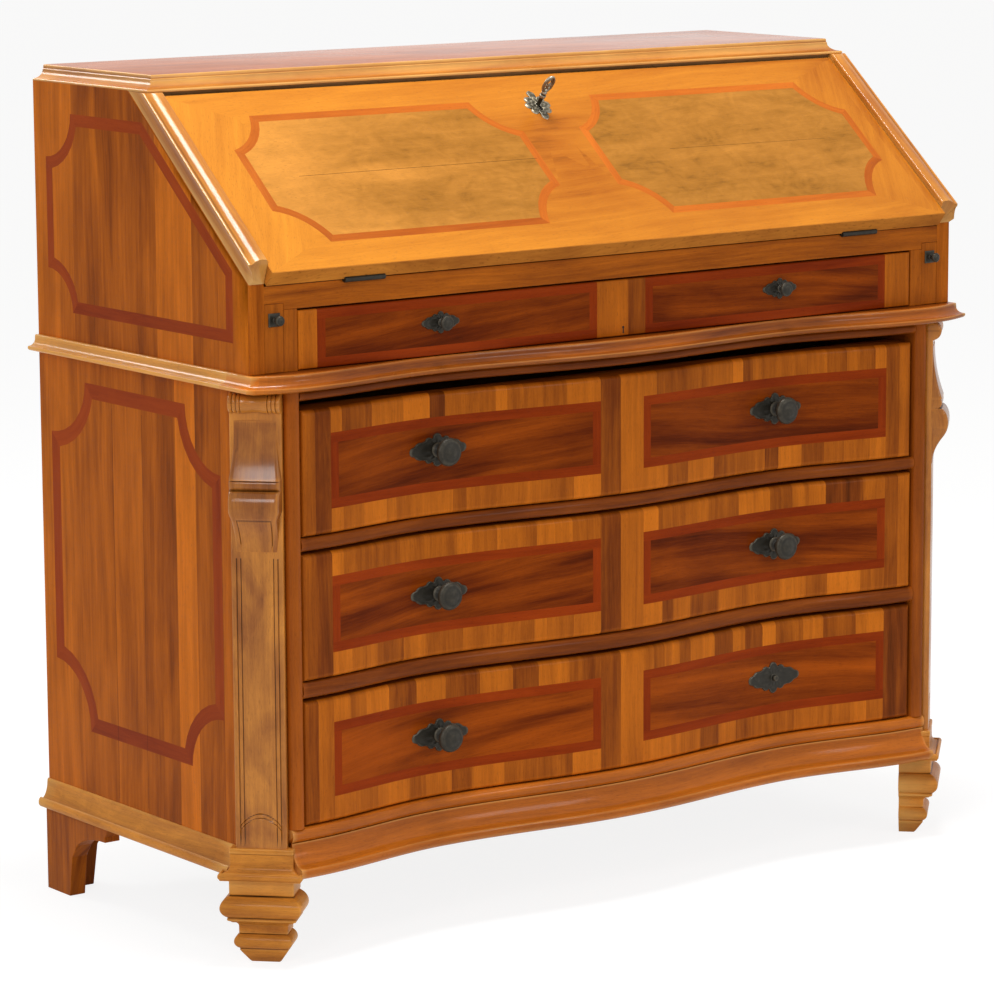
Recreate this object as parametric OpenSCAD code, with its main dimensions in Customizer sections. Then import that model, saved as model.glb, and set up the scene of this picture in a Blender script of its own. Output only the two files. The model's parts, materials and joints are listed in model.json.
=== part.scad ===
/* [Case] */
// Width over the side boards
case_w = 1100; // [1000:10:1240]
// Depth from the front plane of the desk to the back edges of the sides
case_d = 480; // [440:10:580]
// Thickness of the side boards
side_t = 21; // [17:1:26]
// Thickness of the back boards
back_t = 12; // [8:1:18]
// Distance of the back boards from the back edges of the sides
back_inset = 6; // [2:1:15]
// Thickness of the bottom board
bottom_t = 18; // [12:1:24]

/* [Heights] */
// Height of the feet
foot_h = 106; // [100:1:130]
// Height of the base apron
base_h = 59; // [54:1:75]
// Height of the lower drawer opening
low_open_h = 156.5; // [120:0.5:190]
// Thickness of the rail above the lower drawer
low_rail_t = 19.5; // [14:0.5:26]
// Height of the middle drawer opening
mid_open_h = 158; // [120:0.5:190]
// Thickness of the rail above the middle drawer
mid_rail_t = 16; // [14:0.5:26]
// Height of the upper drawer opening
high_open_h = 164; // [120:0.5:190]
// Thickness of the rail above the upper drawer
high_rail_t = 13; // [10:0.5:20]
// Thickness of the waist board
waist_t = 22.3; // [20:0.1:28]
// Height of the shallow drawer opening
shallow_open_h = 73.7; // [60:0.1:90]
// Height of the rail under the fall
fall_rail_h = 29; // [28:1:40]
// Height inside the desk, from its bed to the top board
desk_h = 213.4; // [190:0.1:240]
// Thickness of the top board
top_t = 20.1; // [18:0.1:26]
// Thickness of the bed of the desk
bed_t = 18; // [12:1:18]
// Depth of the rail under the fall
rail_d = 20; // [20:1:30]

/* [Serpentine front] */
// Distance of the hollows behind the front plane
hollow_y = 20; // [14:1:26]
// Distance of the hollows from the middle
hollow_x = 272; // [230:1:300]
// Swell of the middle in front of the hollows
mid_swell = 23; // [10:1:28]
// Swell of the two ends in front of the hollows
end_swell = 26; // [10:1:30]
// Distance of the end swells from the side planes
end_inset = 60; // [50:1:80]
// Thickness of the drawer fronts at the hollows
front_t = 20; // [14:1:28]
// Distance that the rails stand proud of the drawer fronts
rail_lead = 2.5; // [1:0.5:5]
// Depth of the front frame behind the front plane
frame_d = 62; // [50:1:80]

/* [Canted corners] */
// Leg of the canted corner in plan
cant = 44; // [38:1:50]
// Distance of the canted edge in front of the front plane
cant_lead = 2; // [0:0.5:4]
// Width of the stile beside each canted corner
stile_w = 20; // [14:1:26]
// Height of the nose of the stile
stile_nose = 8; // [4:0.5:10]
// Half width of the scrolled bracket at its waist
bracket_waist = 26; // [22:0.5:30]
// Length of the scrolled bracket under the roll
bracket_len = 156; // [130:1:180]
// Height of the upper scroll of the bracket
scroll_h = 69.5; // [55:0.5:85]
// Projection of the upper scroll
scroll_out = 12.3; // [8:0.1:16]
// Projection of the lower bulge of the bracket
bulge_out = 20.5; // [14:0.5:26]
// Radius of the roll under the waist
roll_r = 12.3; // [9:0.1:15]
// Height of the corner block
block_h = 37.7; // [30:0.1:44]
// Half width of the corner block
block_half = 39; // [35:0.5:42]
// Distance of the block's face in front of the canted face
block_out = 7.75; // [4:0.25:12]
// Flare of the block's lip
block_flare = 12.3; // [6:0.1:16]

/* [Mouldings] */
// Overhang of the waist board over the sides
waist_side = 16.4; // [12:0.1:20]
// Overhang of the waist board in front of the drawers
waist_over = 32; // [26:1:38]
// Distance that the waist board's corners step back
waist_ear = 22; // [10:1:26]
// Width of the flat on top of the waist moulding's profile
waist_flat = 12.4; // [8:0.1:15]
// Distance that the top board's face steps in from its lip
top_step = 17.3; // [12:0.1:20]
// Overhang of the base apron's lip in front of the drawers
apron_out = 24; // [16:1:28]
// Overhang of the base moulding's lip at the sides
base_out = 16.5; // [10:0.5:20]
// Thickness of a moulding's lip
lip_t = 3; // [2:0.5:4]

/* [Fall] */
// Angle of the fall to the level
slant = 39.5; // [37:0.5:43]
// Thickness of the fall
fall_t = 21; // [19:1:26]
// Gap between the fall's end and the strip beside it
fall_side_gap = 1; // [0.5:0.1:2]
// Gap between the fall's top edge and the lip above it
fall_top_gap = 4.5; // [3:0.1:7]
// Clearance between the swinging fall and the top board's lip
swing_gap = 2.2; // [1:0.1:4]
// Gap between the fall's top edge and the rail behind it
fall_head_gap = 4.5; // [3:0.1:6]
// Depth of the rail under the top board
head_rail_d = 26; // [18:1:40]
// Overhang of the slanted strips over the sides
strip_side = 6; // [3:0.5:8]
// Height of the strips' outer edge above the fall
strip_edge = 4; // [2:0.5:6]
// Height of the strips' crest above the fall
strip_crest = 7; // [7:0.5:9]
// Distance of the strips' lower end in front of the side's edge
strip_nose = 9.5; // [5:0.5:14]

/* [Hinges and lock] */
// Radius of the hinge knuckle
knuckle_r = 3.5; // [3:0.1:4.5]
// Radius of the hinge pin
pin_r = 1.5; // [1:0.1:2]
// Length of each hinge
hinge_len = 58; // [40:1:80]
// Distance of the hinges from the middle
hinge_x = 389; // [320:1:420]
// Depth of a hinge leaf on its board
leaf_d = 19; // [14:1:20]
// Thickness of a hinge leaf
leaf_t = 1.5; // [1:0.1:2]
// Distance of the key from the middle
key_x = 3; // [-10:1:10]
// Distance of the key up the fall from the hinge line
key_u = 246; // [236:1:252]
// Radius of the key's shank
shank_r = 2.6; // [2:0.1:3.2]
// Length of the key outside the fall
key_out = 50; // [40:1:60]
// Length of the key's bow
bow_len = 28; // [22:1:34]
// Width of the key's bow
bow_w = 16; // [12:1:20]
// Throw of the lock's bolt
bolt_throw = 10; // [8:1:11]
// Width of the lock's bolt
bolt_w = 24; // [16:1:30]
// Thickness of the lock's bolt
bolt_t = 5; // [4:0.5:6]
// Width of the lock case
lock_w = 64; // [54:1:74]
// Depth of the lock case in the fall
lock_d = 11.5; // [10:0.5:13]
// Width of the strike
strike_w = 50; // [40:1:60]

/* [Lopers] */
// Width of the pocket in which a loper slides
pocket_w = 27; // [24:1:34]
// Thickness of the partition beside the pocket
partition_t = 19; // [14:1:24]
// Gap between the end of a loper and the back boards
loper_rear_gap = 32; // [22:1:60]
// Size of the square plate of a loper's knob
loper_plate = 16; // [13:1:20]
// Radius of a loper's knob
loper_knob_r = 6; // [4:0.5:8]

/* [Drawers] */
// Gap at each end of a drawer front
drawer_side_gap = 1.5; // [1:0.1:3]
// Gap under a drawer front
drawer_low_gap = 1; // [0.5:0.1:2]
// Gap above the middle and lower drawer fronts
drawer_top_gap = 2.5; // [1:0.1:4]
// Gap above the upper drawer front
high_top_gap = 7; // [2:0.5:9]
// Thickness of the drawers' sides
drawer_wall = 12; // [8:1:16]
// Thickness of the drawers' bottoms
drawer_floor = 7; // [5:1:10]
// Distance of the drawers' backs from the back boards
drawer_rear_gap = 12; // [6:1:30]
// Height of the long drawers' sides
tray_h = 130; // [90:1:145]
// Height of the shallow drawer's sides
shallow_tray_h = 56; // [40:1:65]
// Thickness of the shallow drawer's front
shallow_front_t = 20; // [14:1:24]
// Width of a drawer runner
runner_w = 60; // [56:1:70]
// Height of the guide on a runner
guide_h = 24; // [16:1:40]

/* [Pulls] */
// Distance of the pulls from the middle
pull_x = 268; // [240:1:300]
// Distance of the left knob of the shallow drawer from the middle
small_left_x = 276; // [240:1:300]
// Distance of the right knob of the shallow drawer from the middle
small_right_x = 258; // [240:1:300]
// Width of a pull's plate
plate_w = 85; // [70:1:100]
// Height of a pull's plate
plate_h = 41; // [32:1:50]
// Thickness of a pull's plate
plate_t = 2; // [1:0.5:3]
// Radius of a pull's knob
knob_r = 17.5; // [12:0.5:20]
// Distance of a pull's knob in front of the drawer
knob_out = 30; // [24:1:36]
// Size of the small pulls as a share of the large ones
small_scale = 0.66; // [0.5:0.01:0.8]

/* [Gallery] */
// Distance of the gallery behind the rail under the top board
gallery_gap = 10; // [4:0.5:30]
// Thickness of the gallery's boards
gallery_t = 12; // [8:1:16]
// Width of the two outer bays
outer_bay_w = 153; // [120:1:180]
// Width of the two bays beside the middle
inner_bay_w = 208; // [160:1:240]
// Height of the gallery's drawers
gallery_drawer_h = 62; // [45:1:75]
// Height of the shelves in the inner bays above the bed
inner_shelf_h = 110; // [90:1:130]
// Thickness of the gallery drawers' walls
gallery_wall = 7; // [5:1:9]

/* [Rear feet] */
// Length of a rear bracket at the top
bracket_top = 151; // [120:1:180]
// Length of a rear bracket at the floor
bracket_sole = 55; // [40:1:70]
// Half width of the arch in a rear bracket
bracket_arch_w = 72; // [60:1:80]
// Height of the arch in a rear bracket
bracket_arch_h = 27; // [20:1:34]
// Distance of the arch's springing below the case
bracket_drop = 46; // [40:1:52]
// Thickness of the rear brackets
bracket_t = 22; // [18:1:28]
// Distance that the rear brackets stand proud of the sides
bracket_lead = 5.5; // [3:0.5:8]

/* [Hidden] */
$fn = 48;

// Colours of the woods and metals
case_wood = "sienna";
front_wood = "peru";
pale_wood = "burlywood";
inner_wood = "tan";
dark_metal = "dimgray";
brass = "darkgoldenrod";

// Clearance between a sliding piece and what carries it
slide_gap = 0.3;
// Radial clearance of a pin in its knuckle
pin_fit = 0.05;
// Clearance of a fixed part round a turning knuckle
knuckle_gap = 0.3;
// Distance of the fall's faces and edge from the hinge axis
face_gap = 0.5;
// Length by which a cut runs past the faces that it leaves
over = 1;

// Levels above the floor
base_z = foot_h;
low_z = base_z + base_h;
low_rail_z = low_z + low_open_h;
mid_z = low_rail_z + low_rail_t;
mid_rail_z = mid_z + mid_open_h;
high_z = mid_rail_z + mid_rail_t;
high_rail_z = high_z + high_open_h;
waist_z = high_rail_z + high_rail_t;
shallow_z = waist_z + waist_t;
fall_rail_z = shallow_z + shallow_open_h;
bed_z = fall_rail_z + fall_rail_h;
top_z = bed_z + desk_h;
block_z = base_z + block_h;
floor_z = low_z - 4;

// Places across the case
side_x = case_w / 2;
in_x = side_x - side_t;
stile_out = side_x - cant;
stile_in = stile_out - stile_w;
end_x = side_x - end_inset;
front_x = stile_in - drawer_side_gap;
pocket_in = in_x - pocket_w;
shallow_x = pocket_in - partition_t;
cant_face = cant * sqrt(2);

// Places from front to back, from the front plane of the desk
cant_y = cant - cant_lead;
back_y = case_d - back_inset - back_t;
drawer_y = hollow_y + front_t;
tray_end = back_y - drawer_rear_gap;
waist_front = hollow_y - end_swell - waist_over;
origin_y = (case_d + waist_front) / 2;

// The slant: u runs up the fall from the hinge axis and w stands out of it
hinge_y = -knuckle_r;
hinge_z = bed_z + face_gap;
fall_in = face_gap;
fall_out = face_gap + fall_t;
fall_low = face_gap;
fall_high = (top_z - fall_top_gap - hinge_z - fall_out * cos(slant)) / sin(slant);
fall_x = in_x - fall_side_gap;
fall_head = fall_high + fall_head_gap;
head_rail_w0 = -2;
head_rail_y = on_slant(fall_head, head_rail_w0)[0] + head_rail_d;
gallery_y = head_rail_y + gallery_gap;
swing_r = norm([fall_high, fall_out]);
lip_y = hinge_y + sqrt(pow(swing_r + swing_gap, 2) - pow(top_z - hinge_z, 2));
loper_top = hinge_z - fall_out - slide_gap;
bolt_w0 = fall_in + 3.8;

// Steps of the serpentine line and of an arc
mid_steps = 14;
end_steps = 11;
ear_steps = 3;
arc_steps = 6;

// Points along an elliptic arc
function arc(cx, cy, rx, ry, a0, a1) =
    [for (i = [0:arc_steps]) let (a = a0 + (a1 - a0) * i / arc_steps) [cx + rx * cos(a), cy + ry * sin(a)]];

// Points of an oval
function oval(rx, ry) = [for (a = [0:10:350]) [rx * cos(a), ry * sin(a)]];

// Height or depth where the slanted plane through the hinge axis passes
function slant_z(y) = hinge_z + (y - hinge_y) * tan(slant);
function slant_y(z) = hinge_y + (z - hinge_z) / tan(slant);

// Point of the slant, from front to back and in height
function on_slant(u, w) =
    [hinge_y + u * cos(slant) - w * sin(slant), hinge_z + u * sin(slant) + w * cos(slant)];

// Depth of the serpentine surface at x: two half waves each side of the middle
function front_y(x) = let (a = min(abs(x), end_x))
    a < hollow_x ? hollow_y - mid_swell / 2 * (1 + cos(180 * a / hollow_x))
    : hollow_y - end_swell / 2 * (1 - cos(180 * (a - hollow_x) / (end_x - hollow_x)));

// Depth of the waist board's lip at x, whose corners step back
function waist_y(x) = front_y(x) - waist_over
    + (abs(x) > end_x ? waist_ear * (1 - cos(90 * (abs(x) - end_x) / (side_x + waist_side - end_x))) : 0);

// Places across the front at which the serpentine line is worked out
function half_grid(x1) = concat(
    [for (i = [0:mid_steps]) hollow_x * i / mid_steps],
    [for (i = [1:end_steps]) hollow_x + (min(x1, end_x) - hollow_x) * i / end_steps],
    x1 > end_x ? [for (i = [1:ear_steps]) end_x + (x1 - end_x) * i / ear_steps] : []);
function grid(x1) = let (h = half_grid(x1)) concat([for (i = [len(h) - 1:-1:1]) -h[i]], h);

// Plan of a board with a serpentine front and a straight back
function front_plan(x1, lead, back) =
    concat([for (x = grid(x1)) [x, front_y(x) - lead]], [[x1, back], [-x1, back]]);

// Half outline closed by its mirror image
function both_sides(half) = concat(half, [for (i = [len(half) - 1:-1:0]) [-half[i][0], half[i][1]]]);

// Hollow moulding from its top down to its lip, by the distance in from the lip and the height
function cavetto(flat, z1, fillet, z0) = let (e = 1.4, n = 0.8)
    concat([[flat, z1], [flat - e, z1 - e]],
        arc(n, z1 - fillet, flat - e - n, z1 - fillet - z0 - lip_t, 0, -90),
        [[0, z0 + lip_t], [0, z0]]);

waist_profile = concat(cavetto(waist_flat, shallow_z, 5, waist_z + 5),
    [[2, waist_z + 3], [waist_side, waist_z]]);
top_profile = cavetto(top_step, top_z + top_t, 6, top_z);

// Apron from its bead down to its lip, by the distance behind the lip
apron_profile = concat(
    [[apron_out + 1, low_z]],
    arc(apron_out, low_z - 8, 6, 8, 90, 270),
    arc(2, low_z - 16, apron_out - 5, base_h - 31, 0, -90),
    [[0, base_z + 13], [0, base_z + 7], [5, base_z + 2], [12, base_z]]);

// Side moulding of the base, by the distance out of the side plane
base_profile = concat(
    [[0, base_z], [5.5, base_z], [base_out - 2.5, base_z + 3]],
    [[base_out, base_z + 7], [base_out, base_z + 10]],
    arc(base_out - 1.5, block_z - 3, 4.5 - base_out, 13 - block_h, 90, 0),
    [[3, block_z], [0, block_z]]);

// Half outline of a square-turned front foot 106 high, by its half width and the height
foot_shape = concat(
    [[39.5, 106], [39.5, 86]],
    arc(41.5, 72, 8, 13, 90, -90),
    [[42, 59], [42, 56], [37.5, 53.5]],
    arc(37.5, 46, -7.5, 7, 90, 0),
    [[30, 37]],
    arc(30, 28, 5.5, 9, 90, -90),
    [[28.5, 19], [28.5, 14.5]],
    arc(17.3, 14.5, 11.2, 14.5, 0, -90));
// Size of a foot against the one of the outline
foot_scale = foot_h / foot_shape[0][1];
foot_profile = [for (p = foot_shape) p * foot_scale];
// Places of the foot's axis and flat back behind the canted face
foot_axis = 23 * foot_scale;
foot_back = 26 * foot_scale;

// Scrolled bracket of the pilaster, by its projection and the height
bracket_z = waist_z - 33;
bracket_profile = concat(
    [[-over, bracket_z]],
    [for (i = [0:arc_steps]) let (t = i / arc_steps) [scroll_out * t * t, bracket_z - scroll_h * t]],
    arc(scroll_out - 3, bracket_z - scroll_h - 5.5, 3, 5.5, 75, -90),
    arc(9.6, bracket_z - scroll_h - 32, bulge_out - 9.6, 21, 90, -50),
    [for (i = [1:arc_steps]) let (t = 1 - i / arc_steps)
        [(bulge_out - 5) * t * t, bracket_z - scroll_h - 49 - (bracket_len - scroll_h - 49) * (1 - t)]],
    [[-over, bracket_z - bracket_len]]);
bracket_front = [[bracket_waist, bracket_z], [bracket_waist, bracket_z - 30],
    [cant_face / 2, bracket_z - scroll_h], [cant_face / 2, bracket_z - scroll_h - 35],
    [bracket_waist, bracket_z - bracket_len]];

// Puts a piece into the frame of the whole cabinet
module placed() {
    translate([0, -origin_y, 0]) children();
}

// Outline in depth and height, carried across from x0 to x1
module across(x0, x1) {
    translate([x0, 0, 0]) rotate([90, 0, 90]) linear_extrude(x1 - x0) children();
}

// Outline in width and height, carried back from y0 to y1
module backward(y0, y1) {
    translate([0, y1, 0]) rotate([90, 0, 0]) linear_extrude(y1 - y0) children();
}

// Outline in plan, carried up from z0 to z1
module upward(z0, z1) {
    translate([0, 0, z0]) linear_extrude(z1 - z0) children();
}

// Block between two corners
module block(a, b) {
    translate(a) cube(b - a);
}

// Frame of the fall: across, up the slant, out of the fall
module at_slant() {
    translate([0, hinge_y, hinge_z]) rotate([slant, 0, 0]) children();
}

// Frame of the left canted face: along it, inwards, up
module at_cant() {
    translate([-side_x + cant / 2, cant_y - cant / 2, 0]) rotate([0, 0, -45]) children();
}

// Right-hand twin of a left-hand piece
module twin() {
    mirror([1, 0, 0]) children();
}

// Solid that follows a front line, with a profile in front and a flat back
module front_sweep(x1, line, profile, back) {
    xs = grid(x1);
    n = len(profile) + 2;
    last = len(xs) - 1;
    rings = [for (i = [0:last]) concat(
        [for (p = profile) [xs[i], line[i] + p[0], p[1]]],
        [[xs[i], back, profile[n - 3][1]], [xs[i], back, profile[0][1]]])];
    walls = [for (i = [0:last - 1]) for (j = [0:n - 1]) let (a = i * n + j, b = i * n + (j + 1) % n)
        [a, a + n, b + n, b]];
    ends = [[for (j = [0:n - 1]) j], [for (j = [n - 1:-1:0]) last * n + j]];
    polyhedron([for (r = rings) for (p = r) p], concat(walls, ends), convexity = 6);
}

// Open drawer box without its front, on two side edges
module tray(x1, y0, y1, z0, h, wall, lift) {
    difference() {
        block([-x1, y0, z0], [x1, y1, z0 + h]);
        block([-x1 + wall, y0 - over, z0 + lift + drawer_floor], [x1 - wall, y1 - wall, z0 + h + over]);
        block([-x1 + wall, y0 - over, z0 - over], [x1 - wall, y1 + over, z0 + lift]);
    }
}

// Outline of a side board
module side_outline() {
    polygon([[cant_y, base_z], [cant_y, shallow_z], [0, shallow_z], [0, slant_z(0)],
        [slant_y(top_z), top_z], [case_d, top_z], [case_d, base_z]]);
}

module side_left() {
    color(case_wood) placed() across(-side_x, -in_x) side_outline();
}

module side_right() {
    color(case_wood) placed() twin() across(-side_x, -in_x) side_outline();
}

// Upright boards with a groove at each joint
module back_boards() {
    boards = 5;
    groove = 3;
    color(inner_wood) placed() difference() {
        block([-in_x, back_y, base_z], [in_x, back_y + back_t, top_z]);
        for (i = [1:boards - 1]) {
            x = -in_x + 2 * in_x * i / boards;
            block([x - groove / 2, back_y + back_t - groove, 0],
                [x + groove / 2, back_y + back_t + over, top_z + over]);
        }
    }
}

// Top board with its hollow moulding mitred round the front corners
module top_board() {
    color(pale_wood) placed() intersection() {
        across(-side_x, side_x)
            polygon(concat([for (p = top_profile) [lip_y + p[0], p[1]]],
                [[case_d, top_z], [case_d, top_z + top_t]]));
        backward(lip_y - over, case_d + over)
            polygon(both_sides([for (p = top_profile) [side_x - p[0], p[1]]]));
    }
}

module bottom_board() {
    color(inner_wood) placed() block([-in_x, frame_d, floor_z - bottom_t], [in_x, back_y, floor_z]);
}

module bed_board() {
    color(front_wood) placed() block([-in_x, rail_d, bed_z - bed_t], [in_x, back_y, bed_z]);
}

// One hinge's place along the fall rail and along the fall
module at_hinges() {
    for (s = [-1, 1]) translate([s * hinge_x, 0, 0]) children();
}

// Knuckles first to last by step, on the axis of the hinge
module knuckles(first, r, grow) {
    part = hinge_len / 5;
    for (i = [first:2:4])
        translate([-hinge_len / 2 + i * part - grow, 0, 0]) rotate([0, 90, 0])
            cylinder(h = part + 2 * grow, r = r);
}

// Rail under the fall, raised over the lopers and cut for the hinges
module fall_rail() {
    color(front_wood) placed() difference() {
        backward(0, rail_d) polygon([[-in_x, bed_z], [-in_x, loper_top + slide_gap],
            [-pocket_in, loper_top + slide_gap], [-pocket_in, fall_rail_z], [pocket_in, fall_rail_z],
            [pocket_in, loper_top + slide_gap], [in_x, loper_top + slide_gap], [in_x, bed_z]]);
        at_hinges() {
            block([-hinge_len / 2, -over, bed_z - leaf_t], [hinge_len / 2, leaf_d, bed_z + over]);
            translate([-hinge_len / 2, hinge_y, hinge_z]) rotate([0, 90, 0])
                cylinder(h = hinge_len, r = knuckle_r + knuckle_gap);
        }
    }
}

// Rail under the top board, whose face stands square to the fall
module top_rail() {
    w1 = (top_z - on_slant(fall_head, 0)[1]) / cos(slant);
    p = on_slant(fall_head, head_rail_w0);
    color(inner_wood) placed() difference() {
        across(-in_x, in_x) polygon([on_slant(fall_head, w1), p, [head_rail_y, p[1]], [head_rail_y, top_z]]);
        at_slant() {
            strike_block(fall_head - over);
            bolt_space(fall_head - over, fall_high + bolt_throw + 3);
        }
    }
}

// Space in which the bolt runs, from u0 to u1
module bolt_space(u0, u1) {
    block([key_x - bolt_w / 2 - slide_gap, u0, bolt_w0 - slide_gap],
        [key_x + bolt_w / 2 + slide_gap, u1, bolt_w0 + bolt_t + slide_gap]);
}

// Plate of the strike, let into the rail from u0 on
module strike_block(u0) {
    block([key_x - strike_w / 2, u0, fall_in + 1], [key_x + strike_w / 2, fall_head + leaf_t, fall_in + 15]);
}

module lock_strike() {
    color(brass) placed() at_slant() difference() {
        strike_block(fall_head);
        bolt_space(fall_head - over, fall_head + leaf_t + over);
    }
}

// Strip that covers the slanted edge of a side, with a hollow under its overhang
module slant_strip() {
    w_edge = fall_out + strip_edge;
    w_crest = fall_out + strip_crest;
    far = 200;
    color(pale_wood) placed() difference() {
        at_slant() across_slant() polygon(concat(
            [[-in_x, 0], [-in_x, w_crest - 2]],
            arc(-in_x - 2, w_crest - 2, 2, 2, 0, 90),
            [[1 - side_x - strip_side, w_edge], [-side_x - strip_side, w_edge - 1]],
            arc(-side_x - strip_side, 10, strip_side, w_edge - 14, 90, 0),
            [[-side_x, 0]]));
        block([-side_x - far, -far, bed_z - far], [0, -strip_nose, top_z]);
        block([-side_x - far, -far, bed_z - far], [0, 0, slant_z(0) + 5]);
        block([-side_x - far, -far, top_z], [0, case_d, top_z + far]);
    }
}

// Outline across and out of the slant, carried up it
module across_slant() {
    translate([0, swing_r * 1.5, 0]) rotate([90, 0, 0]) linear_extrude(swing_r * 2) children();
}

module slant_strip_left() {
    slant_strip();
}

module slant_strip_right() {
    twin() slant_strip();
}

// Waist board: a moulded serpentine front mitred to the side overhangs, and a flat board behind
module waist_board() {
    x1 = side_x + waist_side;
    color(pale_wood) placed() union() {
        intersection() {
            front_sweep(x1, [for (x = grid(x1)) waist_y(x)], waist_profile, cant_y);
            backward(waist_front - over, cant_y + over)
                polygon(both_sides([for (p = waist_profile) [x1 - p[0], p[1]]]));
        }
        block([-in_x, cant_y, waist_z], [in_x, back_y, shallow_z]);
    }
}

module waist_moulding() {
    color(pale_wood) placed() backward(cant_y, case_d)
        polygon(concat([[-side_x, waist_z], [-side_x, shallow_z]],
            [for (p = waist_profile) [p[0] - side_x - waist_side, p[1]]]));
}

module waist_moulding_left() {
    waist_moulding();
}

module waist_moulding_right() {
    twin() waist_moulding();
}

// Serpentine rail between the stiles
module drawer_rail(z0, z1) {
    color(pale_wood) placed() upward(z0, z1) polygon(front_plan(stile_in, rail_lead, frame_d));
}

module drawer_rail_top() {
    drawer_rail(high_rail_z, waist_z);
}

module drawer_rail_upper() {
    drawer_rail(mid_rail_z, high_z);
}

module drawer_rail_lower() {
    drawer_rail(low_rail_z, mid_z);
}

// Apron under the drawers, cut at its ends and where it meets the corner blocks
module base_apron() {
    x1 = stile_out + over;
    front = -apron_out - end_swell;
    color(pale_wood) placed() difference() {
        front_sweep(x1, [for (x = grid(x1)) front_y(x) - apron_out], apron_profile, frame_d);
        for (s = [0, 1]) mirror([s, 0, 0]) {
            block_mass();
            block([-x1 - over, front, base_z - over], [-stile_out, frame_d + over, low_z + over]);
        }
    }
}

// Stile with a rounded nose
module stile() {
    nose_y = front_y(end_x) + 2;
    color(pale_wood) placed() upward(low_z, waist_z)
        polygon(concat([[-stile_in, frame_d], [-stile_out, frame_d]],
            arc((-stile_in - stile_out) / 2, nose_y, stile_w / 2, stile_nose, 180, 360)));
}

module stile_left() {
    stile();
}

module stile_right() {
    twin() stile();
}

// Partition between a loper's pocket and the shallow drawer
module loper_partition() {
    color(front_wood) placed() across(-pocket_in, -shallow_x)
        polygon([[0, shallow_z], [back_y, shallow_z], [back_y, bed_z - bed_t], [rail_d, bed_z - bed_t],
            [rail_d, fall_rail_z], [0, fall_rail_z]]);
}

module loper_partition_left() {
    loper_partition();
}

module loper_partition_right() {
    twin() loper_partition();
}

// Runner with a guide along its outer side
module runner(z0, z1) {
    block([-in_x, frame_d, z0], [-in_x + runner_w, back_y, z1]);
    block([-in_x, frame_d, z0], [-front_x - slide_gap, back_y, z1 + guide_h]);
}

module drawer_runners() {
    color(inner_wood) placed() for (s = [0, 1]) mirror([s, 0, 0]) {
        runner(floor_z, low_z);
        runner(low_rail_z, mid_z);
        runner(mid_rail_z, high_z);
    }
}

// Plan of the corner post behind the canted face
module post_plan() {
    polygon([[-side_x, cant_y], [-stile_out, -cant_lead], [-stile_out, frame_d], [-in_x, frame_d],
        [-in_x, cant_y]]);
}

// Canted corner post with a roll and a scrolled bracket on its face
module pilaster() {
    color(pale_wood) placed() {
        upward(block_z, waist_z) post_plan();
        intersection() {
            upward(block_z, waist_z) carving_plan();
            at_cant() {
                intersection() {
                    across(-cant_face / 2, cant_face / 2) polygon([for (p = bracket_profile) [-p[0], p[1]]]);
                    backward(-bulge_out - over, over) polygon(both_sides(bracket_front));
                }
                translate([-cant_face / 2, 1.3, waist_z - roll_r]) rotate([0, 90, 0]) roll();
            }
        }
    }
}

// Plan of the space that the carving of a canted face may fill, in front of it and in the post
module carving_plan() {
    far = 60;
    polygon([[-side_x, cant_y], [-side_x - far, cant_y - far], [-stile_out - far, -cant_lead - far],
        [-stile_out, -cant_lead], [-stile_out, cant_y]]);
}

// Roll with two beads at each end
module roll() {
    bead = 5;
    step = 1.2;
    cylinder(h = cant_face, r = roll_r - step);
    for (z = [0, bead + 1, cant_face - 2 * bead - 1, cant_face - bead])
        translate([0, 0, z]) cylinder(h = bead, r = roll_r);
    translate([0, 0, 2 * bead + 2]) cylinder(h = cant_face - 4 * bead - 4, r = roll_r);
}

module pilaster_left() {
    pilaster();
}

module pilaster_right() {
    twin() pilaster();
}

// Profile of the corner block at each of its free faces, by its half width
function block_edge(half) = concat(
    [[half, block_z], [half, block_z - block_h * 0.55]],
    [for (p = arc(half + block_flare, block_z - block_h * 0.55, -block_flare, block_h * 0.25, 0, -90)) p],
    [[half + block_flare, base_z]]);

// Canted block whose foot flares on three sides
module block_mass() {
    at_cant() intersection() {
        backward(-block_out - block_flare - over, 14)
            polygon(both_sides(block_edge(block_half)));
        across(-block_half - block_flare - over, block_half + block_flare + over)
            polygon(concat([[14, base_z], [14, block_z]], [for (p = block_edge(block_out)) [-p[0], p[1]]]));
    }
}

module corner_block() {
    color(pale_wood) placed() {
        difference() {
            block_mass();
            block([-side_x, cant_y, base_z - over], [0, case_d, block_z + over]);
        }
        upward(base_z, block_z) post_plan();
    }
}

module corner_block_left() {
    corner_block();
}

module corner_block_right() {
    twin() corner_block();
}

module base_moulding() {
    color(pale_wood) placed() difference() {
        backward(cant_y, case_d) polygon([for (p = base_profile) [-side_x - p[0], p[1]]]);
        block_mass();
    }
}

module base_moulding_left() {
    base_moulding();
}

module base_moulding_right() {
    twin() base_moulding();
}

// Canted foot: a square baluster cut flat at its back
module foot_front() {
    reach = max([for (p = foot_profile) p[0]]) + over;
    color(case_wood) placed() at_cant() intersection() {
        backward(foot_axis - reach, foot_back) polygon(both_sides(foot_profile));
        across(-reach, reach) polygon(concat([[foot_back, 0], [foot_back, foot_h]],
            [for (p = foot_profile) [foot_axis - p[0], p[1]]]));
    }
}

module foot_front_left() {
    foot_front();
}

module foot_front_right() {
    twin() foot_front();
}

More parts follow.
